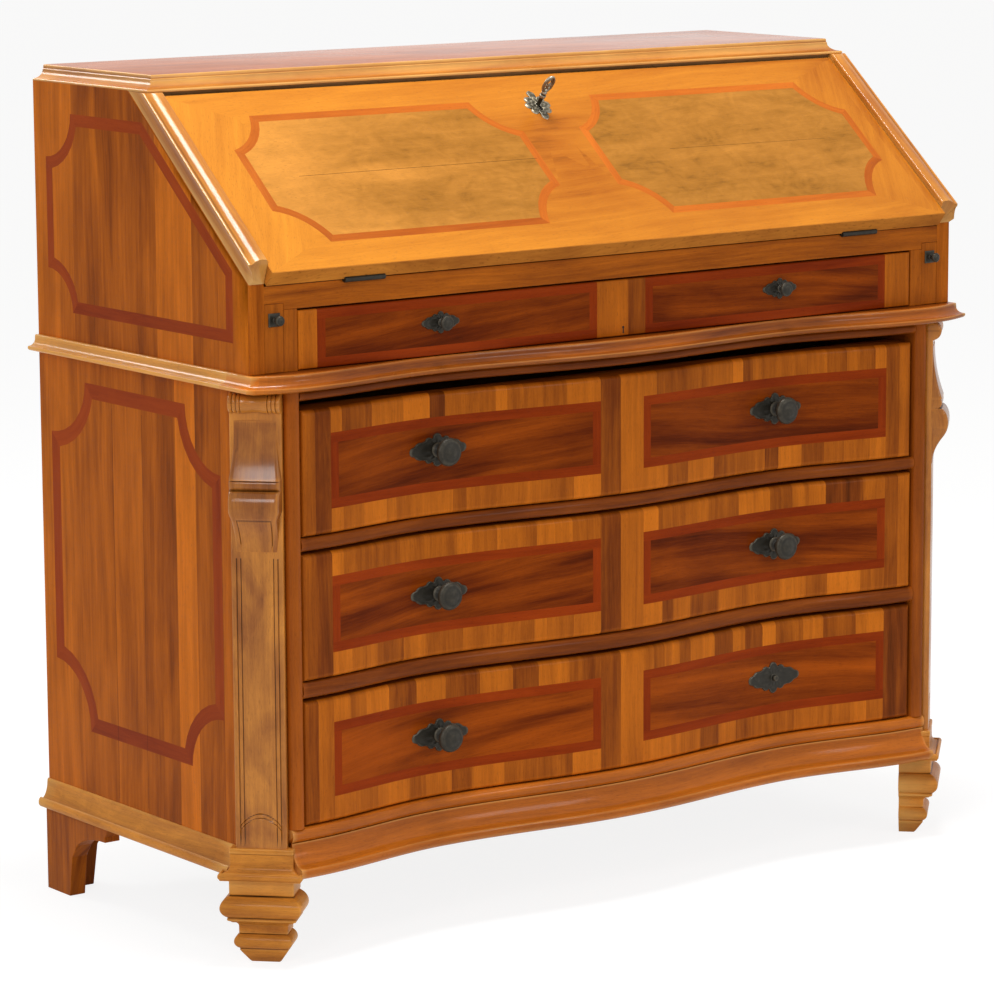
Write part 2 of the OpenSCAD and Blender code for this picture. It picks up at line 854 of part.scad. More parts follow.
// Outline of a bracket foot, from its corner at the origin
module bracket_outline() {
    polygon(concat([[0, 0], [0, foot_h], [-bracket_top, foot_h], [-bracket_top + 9, foot_h - 12]],
        arc(-bracket_top + 9, foot_h - bracket_drop, bracket_arch_w, bracket_arch_h, 90, 20),
        [[-bracket_sole - 7, foot_h - bracket_drop - 8], [-bracket_sole, 0]]));
}

// Rear foot of two brackets that meet at the corner
module foot_rear() {
    color(case_wood) placed() {
        across(-side_x - bracket_lead, -side_x - bracket_lead + bracket_t)
            translate([case_d, 0]) bracket_outline();
        backward(case_d - bracket_t, case_d)
            translate([-side_x - bracket_lead, 0]) mirror([1, 0]) bracket_outline();
    }
}

module foot_rear_left() {
    foot_rear();
}

module foot_rear_right() {
    twin() foot_rear();
}

module hinge_fixed_leaves() {
    color(brass) placed() at_hinges() difference() {
        union() {
            block([-hinge_len / 2, hinge_y, bed_z - leaf_t], [hinge_len / 2, leaf_d, bed_z]);
            translate([0, hinge_y, hinge_z]) knuckles(0, knuckle_r, 0);
        }
        translate([0, hinge_y, hinge_z]) {
            knuckles(1, knuckle_r + knuckle_gap, pin_fit);
            bore();
        }
    }
}

// Bore for the pin through the whole hinge
module bore() {
    translate([-hinge_len / 2 - over, 0, 0]) rotate([0, 90, 0])
        cylinder(h = hinge_len + 2 * over, r = pin_r + pin_fit);
}

module hinge_pins() {
    color(brass) placed() at_hinges()
        translate([-hinge_len / 2, hinge_y, hinge_z]) rotate([0, 90, 0]) cylinder(h = hinge_len, r = pin_r);
}

module hinge_moving_leaves() {
    color(brass) placed() at_slant() at_hinges() difference() {
        union() {
            block([-hinge_len / 2, 0, fall_in], [hinge_len / 2, fall_low + leaf_d, fall_in + leaf_t]);
            knuckles(1, knuckle_r, -pin_fit);
        }
        knuckles(0, knuckle_r + knuckle_gap, pin_fit);
        bore();
    }
}

// Keyhole through whatever lies between w0 and w1
module keyhole(w0, w1) {
    r = shank_r + 0.5;
    translate([key_x, key_u, w0]) {
        cylinder(h = w1 - w0, r = r);
        translate([-shank_r * 0.7, -11, 0]) cube([shank_r * 1.4, 11, w1 - w0]);
    }
}

// Space of the lock case in the fall
module lock_space() {
    block([key_x - lock_w / 2, key_u - 20, fall_in], [key_x + lock_w / 2, fall_high, fall_in + lock_d]);
}

// Fall, cut on its inner face for the lock and the hinges
module fall_panel() {
    color(front_wood) placed() at_slant() difference() {
        block([-fall_x, fall_low, fall_in], [fall_x, fall_high, fall_out]);
        lock_space();
        keyhole(fall_in, fall_out + over);
        at_hinges() {
            block([-hinge_len / 2, fall_low - over, fall_in - over],
                [hinge_len / 2, fall_low + leaf_d, fall_in + leaf_t]);
            translate([-hinge_len / 2, 0, 0]) rotate([0, 90, 0])
                cylinder(h = hinge_len, r = knuckle_r + knuckle_gap);
        }
    }
}

// Lock case with the bolt's channel and a round chamber for the key's bit
module lock_case() {
    color(brass) placed() at_slant() difference() {
        lock_space();
        bolt_space(key_u + 16, fall_high + over);
        translate([key_x, key_u, bolt_w0 - slide_gap]) cylinder(h = bolt_t + 2 * slide_gap, r = 12);
        keyhole(bolt_w0 + bolt_t, fall_in + lock_d + over);
    }
}

module lock_bolt() {
    color(dark_metal) placed() at_slant() block([key_x - bolt_w / 2, key_u + 16 + slide_gap, bolt_w0],
        [key_x + bolt_w / 2, fall_high - slide_gap, bolt_w0 + bolt_t]);
}

// Round escutcheon with a ring of lobes
module escutcheon() {
    lobes = 8;
    ring_r = 14;
    color(brass) placed() at_slant() difference() {
        translate([key_x, key_u, fall_out]) {
            cylinder(h = plate_t, r = ring_r);
            for (i = [0:lobes - 1]) rotate([0, 0, 360 * i / lobes])
                translate([ring_r, 0, 0]) cylinder(h = plate_t * 0.75, r = 5.5);
            for (s = [-1, 1]) translate([0, s * (ring_r + 6), 0]) cylinder(h = plate_t * 0.75, r = 5.5);
        }
        keyhole(fall_out - over, fall_out + plate_t + over);
    }
}

// Key with a pierced oval bow, a collar and a bit that points down the fall
module key() {
    tip = bolt_w0 + 0.2;
    end = fall_out + key_out;
    bow = end - bow_len;
    color(dark_metal) placed() at_slant() translate([key_x, key_u, 0]) {
        translate([0, 0, tip]) cylinder(h = bow + 2 - tip, r = shank_r);
        translate([0, 0, bow - 5]) cylinder(h = 3, r = shank_r + 1.6);
        translate([0, 0, bow - 1]) cylinder(h = 2, r = shank_r + 1);
        translate([-shank_r * 0.5, -10, tip]) cube([shank_r, 10, bolt_t - 0.4]);
        translate([0, shank_r * 0.75, end - bow_len / 2]) rotate([90, 0, 0]) linear_extrude(shank_r * 1.5)
            difference() {
                polygon(oval(bow_w / 2, bow_len / 2));
                polygon(oval(bow_w / 2 - 3.4, bow_len / 2 - 4.5));
            }
    }
}

// Loper that slides out to carry the open fall
module loper() {
    color(front_wood) placed() block([-in_x + slide_gap, 0, shallow_z + slide_gap],
        [-pocket_in - slide_gap, back_y - loper_rear_gap, loper_top]);
}

module loper_left() {
    loper();
}

module loper_right() {
    twin() loper();
}

// Knob on a square plate, at the middle of the loper's end
module loper_pull() {
    x = (-in_x - pocket_in) / 2;
    color(dark_metal) placed() translate([x, 0, loper_top - 18.7]) {
        block([-loper_plate / 2, -leaf_t, -loper_plate / 2], [loper_plate / 2, 0, loper_plate / 2]);
        rotate([90, 0, 0]) {
            cylinder(h = 8, r = loper_knob_r * 0.45);
            translate([0, 0, 4 + loper_knob_r]) sphere(r = loper_knob_r);
        }
    }
}

module loper_pull_left() {
    loper_pull();
}

module loper_pull_right() {
    twin() loper_pull();
}

module shallow_drawer_front() {
    x = shallow_x - drawer_side_gap;
    color(front_wood) placed() difference() {
        block([-x, 0, shallow_z + drawer_low_gap], [x, shallow_front_t, fall_rail_z - drawer_top_gap]);
        translate([key_x, -over, shallow_z + 9]) rotate([-90, 0, 0]) cylinder(h = 12, r = 2.5);
    }
}

module shallow_drawer_box() {
    color(inner_wood) placed() tray(shallow_x - slide_gap, shallow_front_t, tray_end, shallow_z + slide_gap,
        shallow_tray_h, drawer_wall, 3);
}

// Outline of a pull's plate: a lobed middle with two wings
module plate_outline(s) {
    w = plate_w * s / 2;
    h = plate_h * s / 2;
    circle(r = h * 0.8);
    for (i = [-1, 1]) {
        translate([0, i * h * 0.7]) circle(r = h * 0.3);
        translate([i * w * 0.42, 0]) circle(r = h * 0.58);
        translate([i * w * 0.68, 0]) circle(r = h * 0.36);
        translate([i * (w - h * 0.28), 0]) circle(r = h * 0.28);
        for (j = [-1, 1]) translate([i * w * 0.3, j * h * 0.5]) circle(r = h * 0.28);
    }
}

// Mushroom knob that stands on a short stem
module knob(s) {
    r = knob_r * s;
    out = knob_out * s;
    rotate([90, 0, 0]) rotate_extrude() polygon(concat(
        [[0, 0], [r * 0.5, 0], [r * 0.5, out * 0.1], [r * 0.28, out * 0.2], [r * 0.26, out * 0.5]],
        arc(r * 0.6, out * 0.76, r * 0.4, out * 0.16, -110, 30),
        [[r * 0.6, out * 0.95], [r * 0.2, out], [0, out]]));
}

module shallow_drawer_knobs() {
    z = (shallow_z + fall_rail_z) / 2 + 4;
    color(dark_metal) placed() for (x = [-small_left_x, small_right_x]) translate([x, 0, z]) {
        backward(-plate_t, 0) plate_outline(small_scale);
        translate([0, -plate_t, 0]) knob(small_scale * 0.8);
    }
}

// Front board of a long drawer
module long_front(z0, z1) {
    color(front_wood) placed() upward(z0 + drawer_low_gap, z1) polygon(front_plan(front_x, 0, drawer_y));
}

// Box of a long drawer
module long_box(z0) {
    color(inner_wood) placed()
        tray(front_x, drawer_y, tray_end, z0 + slide_gap, tray_h, drawer_wall, 6);
}

// Pull on a long drawer: a plate that follows the hollow, and a knob or only its stub
module long_pull(x, z, whole) {
    y = front_y(x) - plate_t;
    intersection() {
        upward(z - plate_h, z + plate_h) polygon(concat([for (g = grid(front_x)) [g, front_y(g) - plate_t]],
            [for (g = grid(front_x)) [-g, front_y(g)]]));
        translate([x, 0, z]) backward(-60, 60) plate_outline(1);
    }
    translate([x, y, z]) {
        if (whole) knob(1);
        else rotate([90, 0, 0]) cylinder(h = 6, r = 4);
    }
}

// The two pulls of a long drawer at height z
module long_pulls(z, right_whole) {
    color(dark_metal) placed() {
        long_pull(-pull_x, z, true);
        long_pull(pull_x, z, right_whole);
    }
}

module upper_drawer_front() {
    long_front(high_z, high_rail_z - high_top_gap);
}

module upper_drawer_box() {
    long_box(high_z);
}

module upper_drawer_pulls() {
    long_pulls(high_z + high_open_h / 2, true);
}

module middle_drawer_front() {
    long_front(mid_z, mid_rail_z - drawer_top_gap);
}

module middle_drawer_box() {
    long_box(mid_z);
}

module middle_drawer_pulls() {
    long_pulls(mid_z + mid_open_h / 2, true);
}

module lower_drawer_front() {
    long_front(low_z, low_rail_z - drawer_top_gap);
}

module lower_drawer_box() {
    long_box(low_z);
}

module lower_drawer_pulls() {
    long_pulls(low_z + low_open_h / 2, false);
}

// Partitions and shelves of the gallery, between the sides
module gallery_frame() {
    outer = in_x - outer_bay_w;
    inner = outer - gallery_t - inner_bay_w;
    shelf = bed_z + gallery_drawer_h + 3;
    color(inner_wood) placed() for (s = [0, 1]) mirror([s, 0, 0]) {
        block([-outer, gallery_y, bed_z], [-outer + gallery_t, back_y, top_z]);
        block([-inner, gallery_y, bed_z], [-inner + gallery_t, back_y, top_z]);
        block([-in_x, gallery_y + 4, shelf], [-outer, back_y, shelf + gallery_t * 0.7]);
        block([-outer + gallery_t, gallery_y + 4, bed_z + inner_shelf_h],
            [-inner, back_y, bed_z + inner_shelf_h + gallery_t * 0.7]);
    }
}

// Small drawer of an outer bay, with a turned knob
module gallery_drawer() {
    x0 = -in_x + 0.6;
    x1 = -in_x + outer_bay_w - 0.6;
    z0 = bed_z + slide_gap;
    y1 = gallery_y + 10;
    color(front_wood) placed() {
        block([x0, gallery_y, z0], [x1, y1, z0 + gallery_drawer_h]);
        difference() {
            block([x0, y1, z0], [x1, back_y - 10, z0 + gallery_drawer_h - 4]);
            block([x0 + gallery_wall, y1, z0 + 6], [x1 - gallery_wall, back_y - 10 - gallery_wall,
                z0 + gallery_drawer_h]);
        }
        translate([(x0 + x1) / 2, gallery_y, z0 + gallery_drawer_h / 2]) rotate([90, 0, 0]) rotate_extrude()
            polygon([[0, -over], [3, -over], [2.6, 4], [5.5, 7], [6, 9.5], [4.5, 12], [0, 13]]);
    }
}

module gallery_drawer_left() {
    gallery_drawer();
}

module gallery_drawer_right() {
    twin() gallery_drawer();
}

side_left();
side_right();
back_boards();
top_board();
bottom_board();
bed_board();
fall_rail();
top_rail();
slant_strip_left();
slant_strip_right();
waist_board();
waist_moulding_left();
waist_moulding_right();
drawer_rail_top();
drawer_rail_upper();
drawer_rail_lower();
base_apron();
stile_left();
stile_right();
loper_partition_left();
loper_partition_right();
drawer_runners();
pilaster_left();
pilaster_right();
corner_block_left();
corner_block_right();
base_moulding_left();
base_moulding_right();
foot_front_left();
foot_front_right();
foot_rear_left();
foot_rear_right();
hinge_fixed_leaves();
hinge_pins();
lock_strike();
gallery_frame();
fall_panel();
hinge_moving_leaves();
lock_case();
escutcheon();
lock_bolt();
key();
loper_left();
loper_right();
loper_pull_left();
loper_pull_right();
shallow_drawer_front();
shallow_drawer_box();
shallow_drawer_knobs();
upper_drawer_front();
upper_drawer_box();
upper_drawer_pulls();
middle_drawer_front();
middle_drawer_box();
middle_drawer_pulls();
lower_drawer_front();
lower_drawer_box();
lower_drawer_pulls();
gallery_drawer_left();
gallery_drawer_right();
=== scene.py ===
"""Slant-front cabinet in walnut veneer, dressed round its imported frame."""

import json
import math

import bpy
import numpy as np
from bpy.props import FloatProperty, FloatVectorProperty, PointerProperty
from bpy.types import Operator, Panel, PropertyGroup
from mathutils import Matrix, Vector
from mathutils.geometry import delaunay_2d_cdt


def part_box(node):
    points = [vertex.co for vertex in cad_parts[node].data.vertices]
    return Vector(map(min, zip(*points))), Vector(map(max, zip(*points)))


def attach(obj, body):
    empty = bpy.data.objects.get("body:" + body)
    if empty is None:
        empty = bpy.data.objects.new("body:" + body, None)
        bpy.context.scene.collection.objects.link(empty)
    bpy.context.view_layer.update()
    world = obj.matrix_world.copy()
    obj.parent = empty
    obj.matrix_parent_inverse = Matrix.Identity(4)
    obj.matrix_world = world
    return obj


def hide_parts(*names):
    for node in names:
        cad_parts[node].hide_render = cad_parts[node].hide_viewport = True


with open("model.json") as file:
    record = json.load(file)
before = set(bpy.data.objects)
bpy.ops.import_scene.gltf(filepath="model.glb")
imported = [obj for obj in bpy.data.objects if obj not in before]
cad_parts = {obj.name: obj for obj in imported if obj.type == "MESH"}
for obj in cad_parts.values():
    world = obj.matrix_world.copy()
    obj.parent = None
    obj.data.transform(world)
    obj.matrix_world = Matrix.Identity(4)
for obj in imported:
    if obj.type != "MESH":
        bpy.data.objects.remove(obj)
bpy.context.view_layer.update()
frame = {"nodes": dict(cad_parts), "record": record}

bl_info = {
    "name": "Slant-front cabinet",
    "version": (1, 0, 0),
    "blender": (4, 5, 0),
    "location": "3D View > Sidebar > Cabinet",
    "description": "Veneers, mouldings, carving and fittings of a slant-front cabinet",
    "category": "Object",
}

NODES = frame["nodes"]
RECORD = frame["record"]
BODY = {node: body for body, nodes in RECORD["behaviour"]["bodies"].items() for node in nodes}
MM = 0.001
# Distance of the frame's origin behind the front plane of the desk
FRONT = -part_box("side_left")[0].y / MM
# How far the carved corner posts stand out of their solids, in millimetres
PROUD = 12.0
# Thickness of the fall's and the sides' veneers, and how far they sink into their boards and end short of
# their edges
FALL_SHEET, SIDE_SHEET, MARGIN = 0.22, 0.35, 0.8
HALF_ROOT = math.sqrt(0.5)
# Sign of X on each side
SIDES = ((-1, "left"), (1, "right"))


def span(node):
    """Lowest and highest corner of a node, in millimetres from the front plane."""
    low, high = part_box(node)
    return np.array(low) / MM + (0, FRONT, 0), np.array(high) / MM + (0, FRONT, 0)


def centre_of(node):
    """Middle of a node's box, in millimetres from the front plane."""
    low, high = span(node)
    return (low + high) / 2


# Main places of the case, in millimetres from its middle, front plane and floor
(IN_X, _, BASE_Z), (SIDE_X, BACK, TOP_Z) = span("side_right")
(_, LIP_Y, _), (_, _, TOP) = span("top_board")
(_, _, WAIST_Z), (_, _, SHELF_Z) = span("waist_board")
WAIST_X = span("waist_moulding_right")[1][0]
(STILE_IN, _, LOW_Z), (STILE_OUT, FRAME_Y, _) = span("stile_right")
CANT = SIDE_X - STILE_OUT
CANT_Y = CANT - 2.0
BLOCK_Z = span("pilaster_left")[0][2]
BED_Z = span("bed_board")[1][2]
# Axis of the fall's hinges, the fall's slant, and how far its face lies out of the slanted line through them
HINGE = np.array([0.0, -3.5, BED_Z + 0.5])
SLANT = math.radians(39.5)
FALL_OUT = 21.5
# Keyhole of the fall: across and up the slant
KEYHOLE = (3.0, 246.0)
# Serpentine line: where it is deepest, where its end swells begin to be flat, and its depths
HOLLOW_X, END_X = 272.0, 490.0
HOLLOW_Y, MID_SWELL, END_SWELL = 20.0, 23.0, 26.0


def linear(code):
    """Linear colour of a six-digit screen colour."""
    screen = np.array([int(code[i:i + 2], 16) for i in (0, 2, 4)]) / 255
    return tuple(np.where(screen <= 0.04045, screen / 12.92, ((screen + 0.055) / 1.055) ** 2.4).tolist())


def shade(name, description, code):
    """Colour property whose default is a screen colour."""
    return FloatVectorProperty(name=name, description=description, subtype="COLOR", size=3, min=0.0, max=1.0,
                               default=linear(code))


def amount(name, description, default, low, high):
    """Number property with its range."""
    return FloatProperty(name=name, description=description, default=default, min=low, max=high)


# Screen colours of the light and the dark grain of each wood
WOODS = {
    "fall": ("the veneer round the fall's panels", "cb8026", "a45c18"),
    "figure": ("the figured fields of the fall", "c08034", "94601f"),
    "band": ("the fall's bands", "c66a1e", "9d4c12"),
    "front_band": ("the drawers' bands", "a8420e", "7a2806"),
    "side": ("the sides", "d4731a", "8a4208"),
    "side_band": ("the sides' bands", "ae4a12", "832f08"),
    "block": ("the drawers' crossbanding", "cc701a", "7c3a0e"),
    "field": ("the drawers' fields", "ac500e", "672605"),
    "pale": ("the mouldings", "dd9638", "96501a"),
    "rail": ("the rails in front", "b05c18", "74360c"),
    "carved": ("the carved corners", "dc9038", "965620"),
    "inner": ("the wood inside the case", "b98d5c", "7d5732"),
}


class CabinetColours(PropertyGroup):
    """Colours of the woods and metals"""

    # Grime darkens hollows, partly real grime, partly painted shade; it also paints the shade in the keyholes
    grime_and_shade: shade("Grime", "Old wax and dust in the hollows", "2a1608")
    # Crests lighten standing edges: partly rubbed wood, partly a painted highlight
    crest: shade("Crests", "Rubbed wood on the edges of mouldings", "ecb868")
    bronze: shade("Old bronze", "Patina of the pulls", "2e2a22")
    brass: shade("Brass", "Dulled brass of the lock", "8f7440")
    steel: shade("Steel", "Worn steel of the key", "57503f")


for wood_name, (where, *codes) in WOODS.items():
    for grain, code in zip(("light", "dark"), codes):
        title, note = wood_name.replace("_", " ").capitalize(), f"The {grain} grain of {where}"
        CabinetColours.__annotations__[f"{wood_name}_{grain}"] = shade(f"{title}, {grain}", note, code)


class CabinetSizes(PropertyGroup):
    """Sizes of the dressing, in millimetres"""

    band: amount("Band", "Width of the fall's bands in millimetres", 11.0, 4.0, 20.0)
    side_band: amount("Side band", "Width of the sides' bands in millimetres", 19.0, 8.0, 30.0)
    drawer_band: amount("Drawer band", "Width of the drawers' bands in millimetres", 12.0, 5.0, 20.0)
    crossband: amount("Crossbanding", "Height of the drawers' crossbanding in millimetres", 30.0, 15.0, 40.0)
    rounding: amount("Drawer edge", "Rounding of the drawer fronts in millimetres", 6.0, 1.0, 9.0)
    groove: amount("Groove", "Depth of the incised lines in millimetres", 1.3, 0.3, 3.0)


# Half the width of the floor, in metres
FLOOR_HALF = 30.0
# Side that each lamp stands on, its power in watts, its place, its target and its width in metres
LAMPS = {
    "top_lamp": ("overhead", 86.0, (-0.1, -0.4, 3.4), (0.0, 0.0, 0.9), 0.9),
    "front_lamp": ("in front", 23.0, (1.6, -4.2, 2.2), (0.0, 0.0, 0.6), 1.2),
    "left_lamp": ("at the left", 34.0, (-3.4, -2.4, 2.5), (0.0, 0.0, 0.6), 1.0),
    "back_lamp": ("behind the left side", 22.0, (-1.3, 2.3, 2.3), (-0.55, 0.0, 0.6), 0.7),
}


class CabinetStage(PropertyGroup):
    """Camera and lamps"""

    lens: amount("Lens", "Focal length of the camera in millimetres", 151.9, 20.0, 300.0)
    place: FloatVectorProperty(name="Camera", description="Place of the camera", subtype="TRANSLATION",
                               size=3, default=(-3.2073, -4.2661, 1.4017))
    turn: FloatVectorProperty(name="Turn", description="Camera's turn to the right, tilt down and roll",
                              subtype="EULER", size=3,
                              default=(math.radians(36.696), math.radians(9.7735), math.radians(-0.2896)))
    ambient: amount("Ambient light", "Strength of the light from all round", 0.42, 0.0, 2.0)


for lamp_name, (where, power, *_) in LAMPS.items():
    title, note = lamp_name.replace("_", " ").capitalize(), f"Power in watts of the lamp {where}"
    CabinetStage.__annotations__[lamp_name] = amount(title, note, power, 0.0, 500.0)


# ---- Surfaces ------------------------------------------------------------------------------------------


class Skin:
    """Closed shells collected for one piece, in millimetres from the middle, front plane and floor."""

    def __init__(self):
        self.points, self.faces, self.flats, self.tones, self.finishes = [], [], [], [], []
        self.count = 0

    def add(self, points, groups):
        """One closed shell. A group is (faces, flat coordinates of the corners, tone, finish).

        Six times the volume is the sum, over fans of triangles, of a . (b x c); where it is negative, all
        faces are turned over.
        """
        points = np.asarray(points, float)
        middle = points.mean(axis=0)
        volume = 0.0
        for faces, *_ in groups:
            p = points[np.asarray(faces)] - middle
            volume += np.sum(p[:, 0] * np.cross(p[:, 1:-1], p[:, 2:]).sum(axis=1))
        step = -1 if volume < 0 else 1
        for faces, flat, tone, finish in groups:
            faces = np.asarray(faces)
            tone = np.asarray(tone, float)
            tone = np.broadcast_to(tone[:, None] if tone.ndim == 1 else tone, faces.shape)
            self.faces.append(faces[:, ::step] + self.count)
            self.flats.append(np.broadcast_to(flat, faces.shape + (2,))[:, ::step])
            self.tones.append(tone[:, ::step])
            self.finishes.append(np.broadcast_to(finish, len(faces)))
        self.points.append(points)
        self.count += len(points)

    def make(self, node, ending, *finishes, smooth=35.0, sheet=None):
        """Mesh object of the collected shells, which stands for its node and rides with its body.

        A sheet of veneer has a name of its own and no relief, so no painted shade in its hollows and no
        painted highlight on its edges, and it leaves its node in view.
        """
        name = sheet or node + ending
        points = (np.concatenate(self.points) - (0, FRONT, 0)) * MM
        sizes = np.concatenate([np.full(len(f), f.shape[1]) for f in self.faces])
        mesh = bpy.data.meshes.new(name)
        mesh.vertices.add(len(points))
        mesh.vertices.foreach_set("co", points.ravel())
        mesh.loops.add(int(sizes.sum()))
        mesh.loops.foreach_set("vertex_index", np.concatenate([f.ravel() for f in self.faces]))
        mesh.polygons.add(len(sizes))
        mesh.polygons.foreach_set("loop_start", np.cumsum(sizes) - sizes)
        mesh.polygons.foreach_set("material_index", np.concatenate(self.finishes).astype(np.int32))
        mesh.update(calc_edges=True)
        flats = np.concatenate([f.reshape(-1, 2) for f in self.flats]) * MM
        mesh.uv_layers.new(name="grain").uv.foreach_set("vector", flats.ravel())
        tone = mesh.attributes.new("tone", "FLOAT", "CORNER")
        tone.data.foreach_set("value", np.concatenate([t.ravel() for t in self.tones]))
        if not sheet:
            # Relief: wood hollows get grime and painted shade, edges rubbed wood and a painted highlight
            wear = mesh.attributes.new("wear", "FLOAT", "POINT")
            wear.data.foreach_set("value", standing_out(mesh, points))
        mesh.polygons.foreach_set("use_smooth", np.ones(len(sizes), bool))
        mesh.set_sharp_from_angle(angle=math.radians(20.0 if sheet else smooth))
        for finish in finishes:
            mesh.materials.append(bpy.data.materials[finish])
        piece = bpy.data.objects.new(name, mesh)
        bpy.context.scene.collection.objects.link(piece)
        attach(piece, BODY[node])
        if not sheet:
            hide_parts(node)


def standing_out(mesh, points):
    """How far each point stands out of its neighbours, from -1 in a hollow to 1 on an edge.

    It is minus the mean, over the point's edges, of the edge's direction along the point's normal, times 3.
    """
    ends = np.empty(len(mesh.edges) * 2, np.int32)
    mesh.edges.foreach_get("vertices", ends)
    normals = np.empty(len(points) * 3, np.float32)
    mesh.vertex_normals.foreach_get("vector", normals)
    ends, normals = ends.reshape(-1, 2), normals.reshape(-1, 3)
    along = points[ends[:, 1]] - points[ends[:, 0]]
    along /= np.maximum(np.linalg.norm(along, axis=1, keepdims=True), 1e-9)
    rise, number = np.zeros(len(points)), np.zeros(len(points))
    np.add.at(rise, ends[:, 0], np.sum(along * normals[ends[:, 0]], axis=1))
    np.add.at(rise, ends[:, 1], -np.sum(along * normals[ends[:, 1]], axis=1))
    np.add.at(number, ends.ravel(), 1)
    return np.clip(-3 * rise / np.maximum(number, 1), -1, 1)


def soften(piece, width):
    """Rounds the sharp edges of a board by a bevel of two steps, width in millimetres."""
    bevel = piece.modifiers.new("Softened edges", "BEVEL")
    bevel.width = width * MM
    bevel.segments = 2
    bevel.limit_method = "ANGLE"
    bevel.angle_limit = math.radians(40)


def joined(*parts):
    """Coordinates brought to one shape and joined along a new last axis."""
    return np.stack(np.broadcast_arrays(*parts), axis=-1)


def at(x, z, *points):
    """Points given from the place (x, z)."""
    return np.array(points, float) + (x, z)


def grid_faces(rows, columns, round_rows=False, round_columns=False):
    """Quads of a grid of points, and the row and column at each of their corners, not yet wrapped round."""
    i, j = np.mgrid[:rows - 1 + round_rows, :columns - 1 + round_columns]
    i = i.ravel()[:, None] + [0, 0, 1, 1]
    j = j.ravel()[:, None] + [0, 1, 1, 0]
    return i % rows * columns + j % columns, i, j


def travelled(points, axis):
    """Mean distance travelled from row to row or column to column of a grid of points."""
    steps = np.linalg.norm(np.diff(points, axis=axis), axis=2)
    return np.append(0, np.cumsum(steps.mean(axis=1 - axis)))


def loft(skin, rings, tone=0.0, shift=(0.0, 0.0), crossed=False):
    """Closed rings of points joined row by row and capped at both ends.

    U is the mean distance travelled from ring to ring and V the distance round the ring; crossed swaps them.
    """
    rings = np.asarray(rings, float)
    rows, columns = rings.shape[:2]
    along, around = travelled(rings, 0), travelled(np.concatenate([rings, rings[:, :1]], axis=1), 1)
    quads, i, j = grid_faces(rows, columns, round_columns=True)
    flat = (around[j], along[i]) if crossed else (along[i], around[j])
    points = rings.reshape(-1, 3)
    groups = [(quads, joined(*flat) + shift, tone, 0)]
    for cap in (np.arange(columns)[::-1], (rows - 1) * columns + np.arange(columns)):
        p = points[cap]
        flat = joined(p[:, 2], p[:, 0] + p[:, 1]) + shift
        groups.append((cap[None], flat[None], tone, 0))
    skin.add(points, groups)


def lofted(node, ending, finish, rings, smooth=35.0, **laid):
    """Piece of one lofted shell."""
    skin = Skin()
    loft(skin, rings, **laid)
    skin.make(node, ending, finish, smooth=smooth)


def carried(section, axis, stations):
    """Rings of a section carried straight along one axis."""
    return [np.insert(section, axis, station, axis=1) for station in stations]


def mantle(skin, rows, tone=0.0, flat_tone=0.0, flat_finish=0):
    """Moulded face carried round three sides, closed by a flat top, a flat underside and a flat back.

    rows[i, j] is the place of profile point j at step i of the path; U runs along the path. The tone is one
    number, or one for each step.
    """
    rows = np.asarray(rows, float)
    m, n = rows.shape[:2]
    quads, i, j = grid_faces(m, n)
    flat = joined(travelled(rows, 0)[i], travelled(rows, 1)[j])
    points = rows.reshape(-1, 3)
    groups = [(quads, flat, np.broadcast_to(tone, m - 1)[i[:, 0]], 0)]
    top, under = np.arange(m) * n, np.arange(m)[::-1] * n + n - 1
    back = np.append(np.arange(n)[::-1], (m - 1) * n + np.arange(n))
    for face, axes in ((top, (0, 1)), (under, (0, 1)), (back, (0, 2))):
        groups.append((face[None], points[face][:, axes][None], flat_tone, flat_finish))
    skin.add(points, groups)


def slab(skin, outline, axis, a, b, grain, tone=0.0, finish=0):
    """Flat outline carried along one axis from a to b. U is the place along the grain's axis and V the sum of
    the two others, on every face."""
    outline = np.asarray(outline, float)
    n = len(outline)
    points = np.concatenate(carried(outline, axis, (a, b)))
    k = np.arange(n)
    walls = joined(k, (k + 1) % n, (k + 1) % n + n, k + n)
    groups = []
    for faces in (walls, k[::-1][None], k[None] + n):
        p = points[faces]
        groups.append((faces, joined(p[..., grain], p.sum(axis=-1) - p[..., grain]), tone, finish))
    skin.add(points, groups)


def backed(skin, points, groups, edge, depth, tone=0.0):
    """Face of a board, closed by walls from its edge to the flat back, which is depth away from the edge."""
    edge = np.asarray(edge)
    n, first = len(edge), len(points)
    back = points[edge] + depth
    k = np.arange(n)
    after = (k + 1) % n
    walls = joined(edge[after], edge[k], first + k, first + after)
    rear = (first + k[::-1])[None]
    every = np.concatenate([points, back])
    for faces in (walls, rear):
        p = every[faces]
        groups = [*groups, (faces, joined(p[..., 0] + p[..., 1], p[..., 2]), tone, 0)]
    skin.add(every, groups)


def turned(flat, angle, shift):
    """Flat coordinates turned so that the grain at that angle runs along U, and shifted."""
    c, s = np.cos(angle), np.sin(angle)
    u = c * flat[..., 0] + s * flat[..., 1]
    v = -s * flat[..., 0] + c * flat[..., 1]
    return joined(u, v) + shift


def circle(steps):
    """Angles of that many steps round a full circle."""
    return np.linspace(0, 2 * np.pi, steps + 1)[:-1]


def arc(cx, cy, rx, ry, start, end, steps=10):
    """Points on an ellipse between two angles in degrees."""
    t = np.radians(np.linspace(start, end, steps + 1))
    return joined(cx + rx * np.cos(t), cy + ry * np.sin(t))


def front_y(x):
    """Serpentine front: a half cosine wave out to the middle swell and another out to each end swell."""
    a = np.minimum(np.abs(x), END_X)
    middle = HOLLOW_Y - MID_SWELL / 2 * (1 + np.cos(np.pi * a / HOLLOW_X))
    end = HOLLOW_Y - END_SWELL / 2 * (1 - np.cos(np.pi * (a - HOLLOW_X) / (END_X - HOLLOW_X)))
    return np.where(a < HOLLOW_X, middle, end)


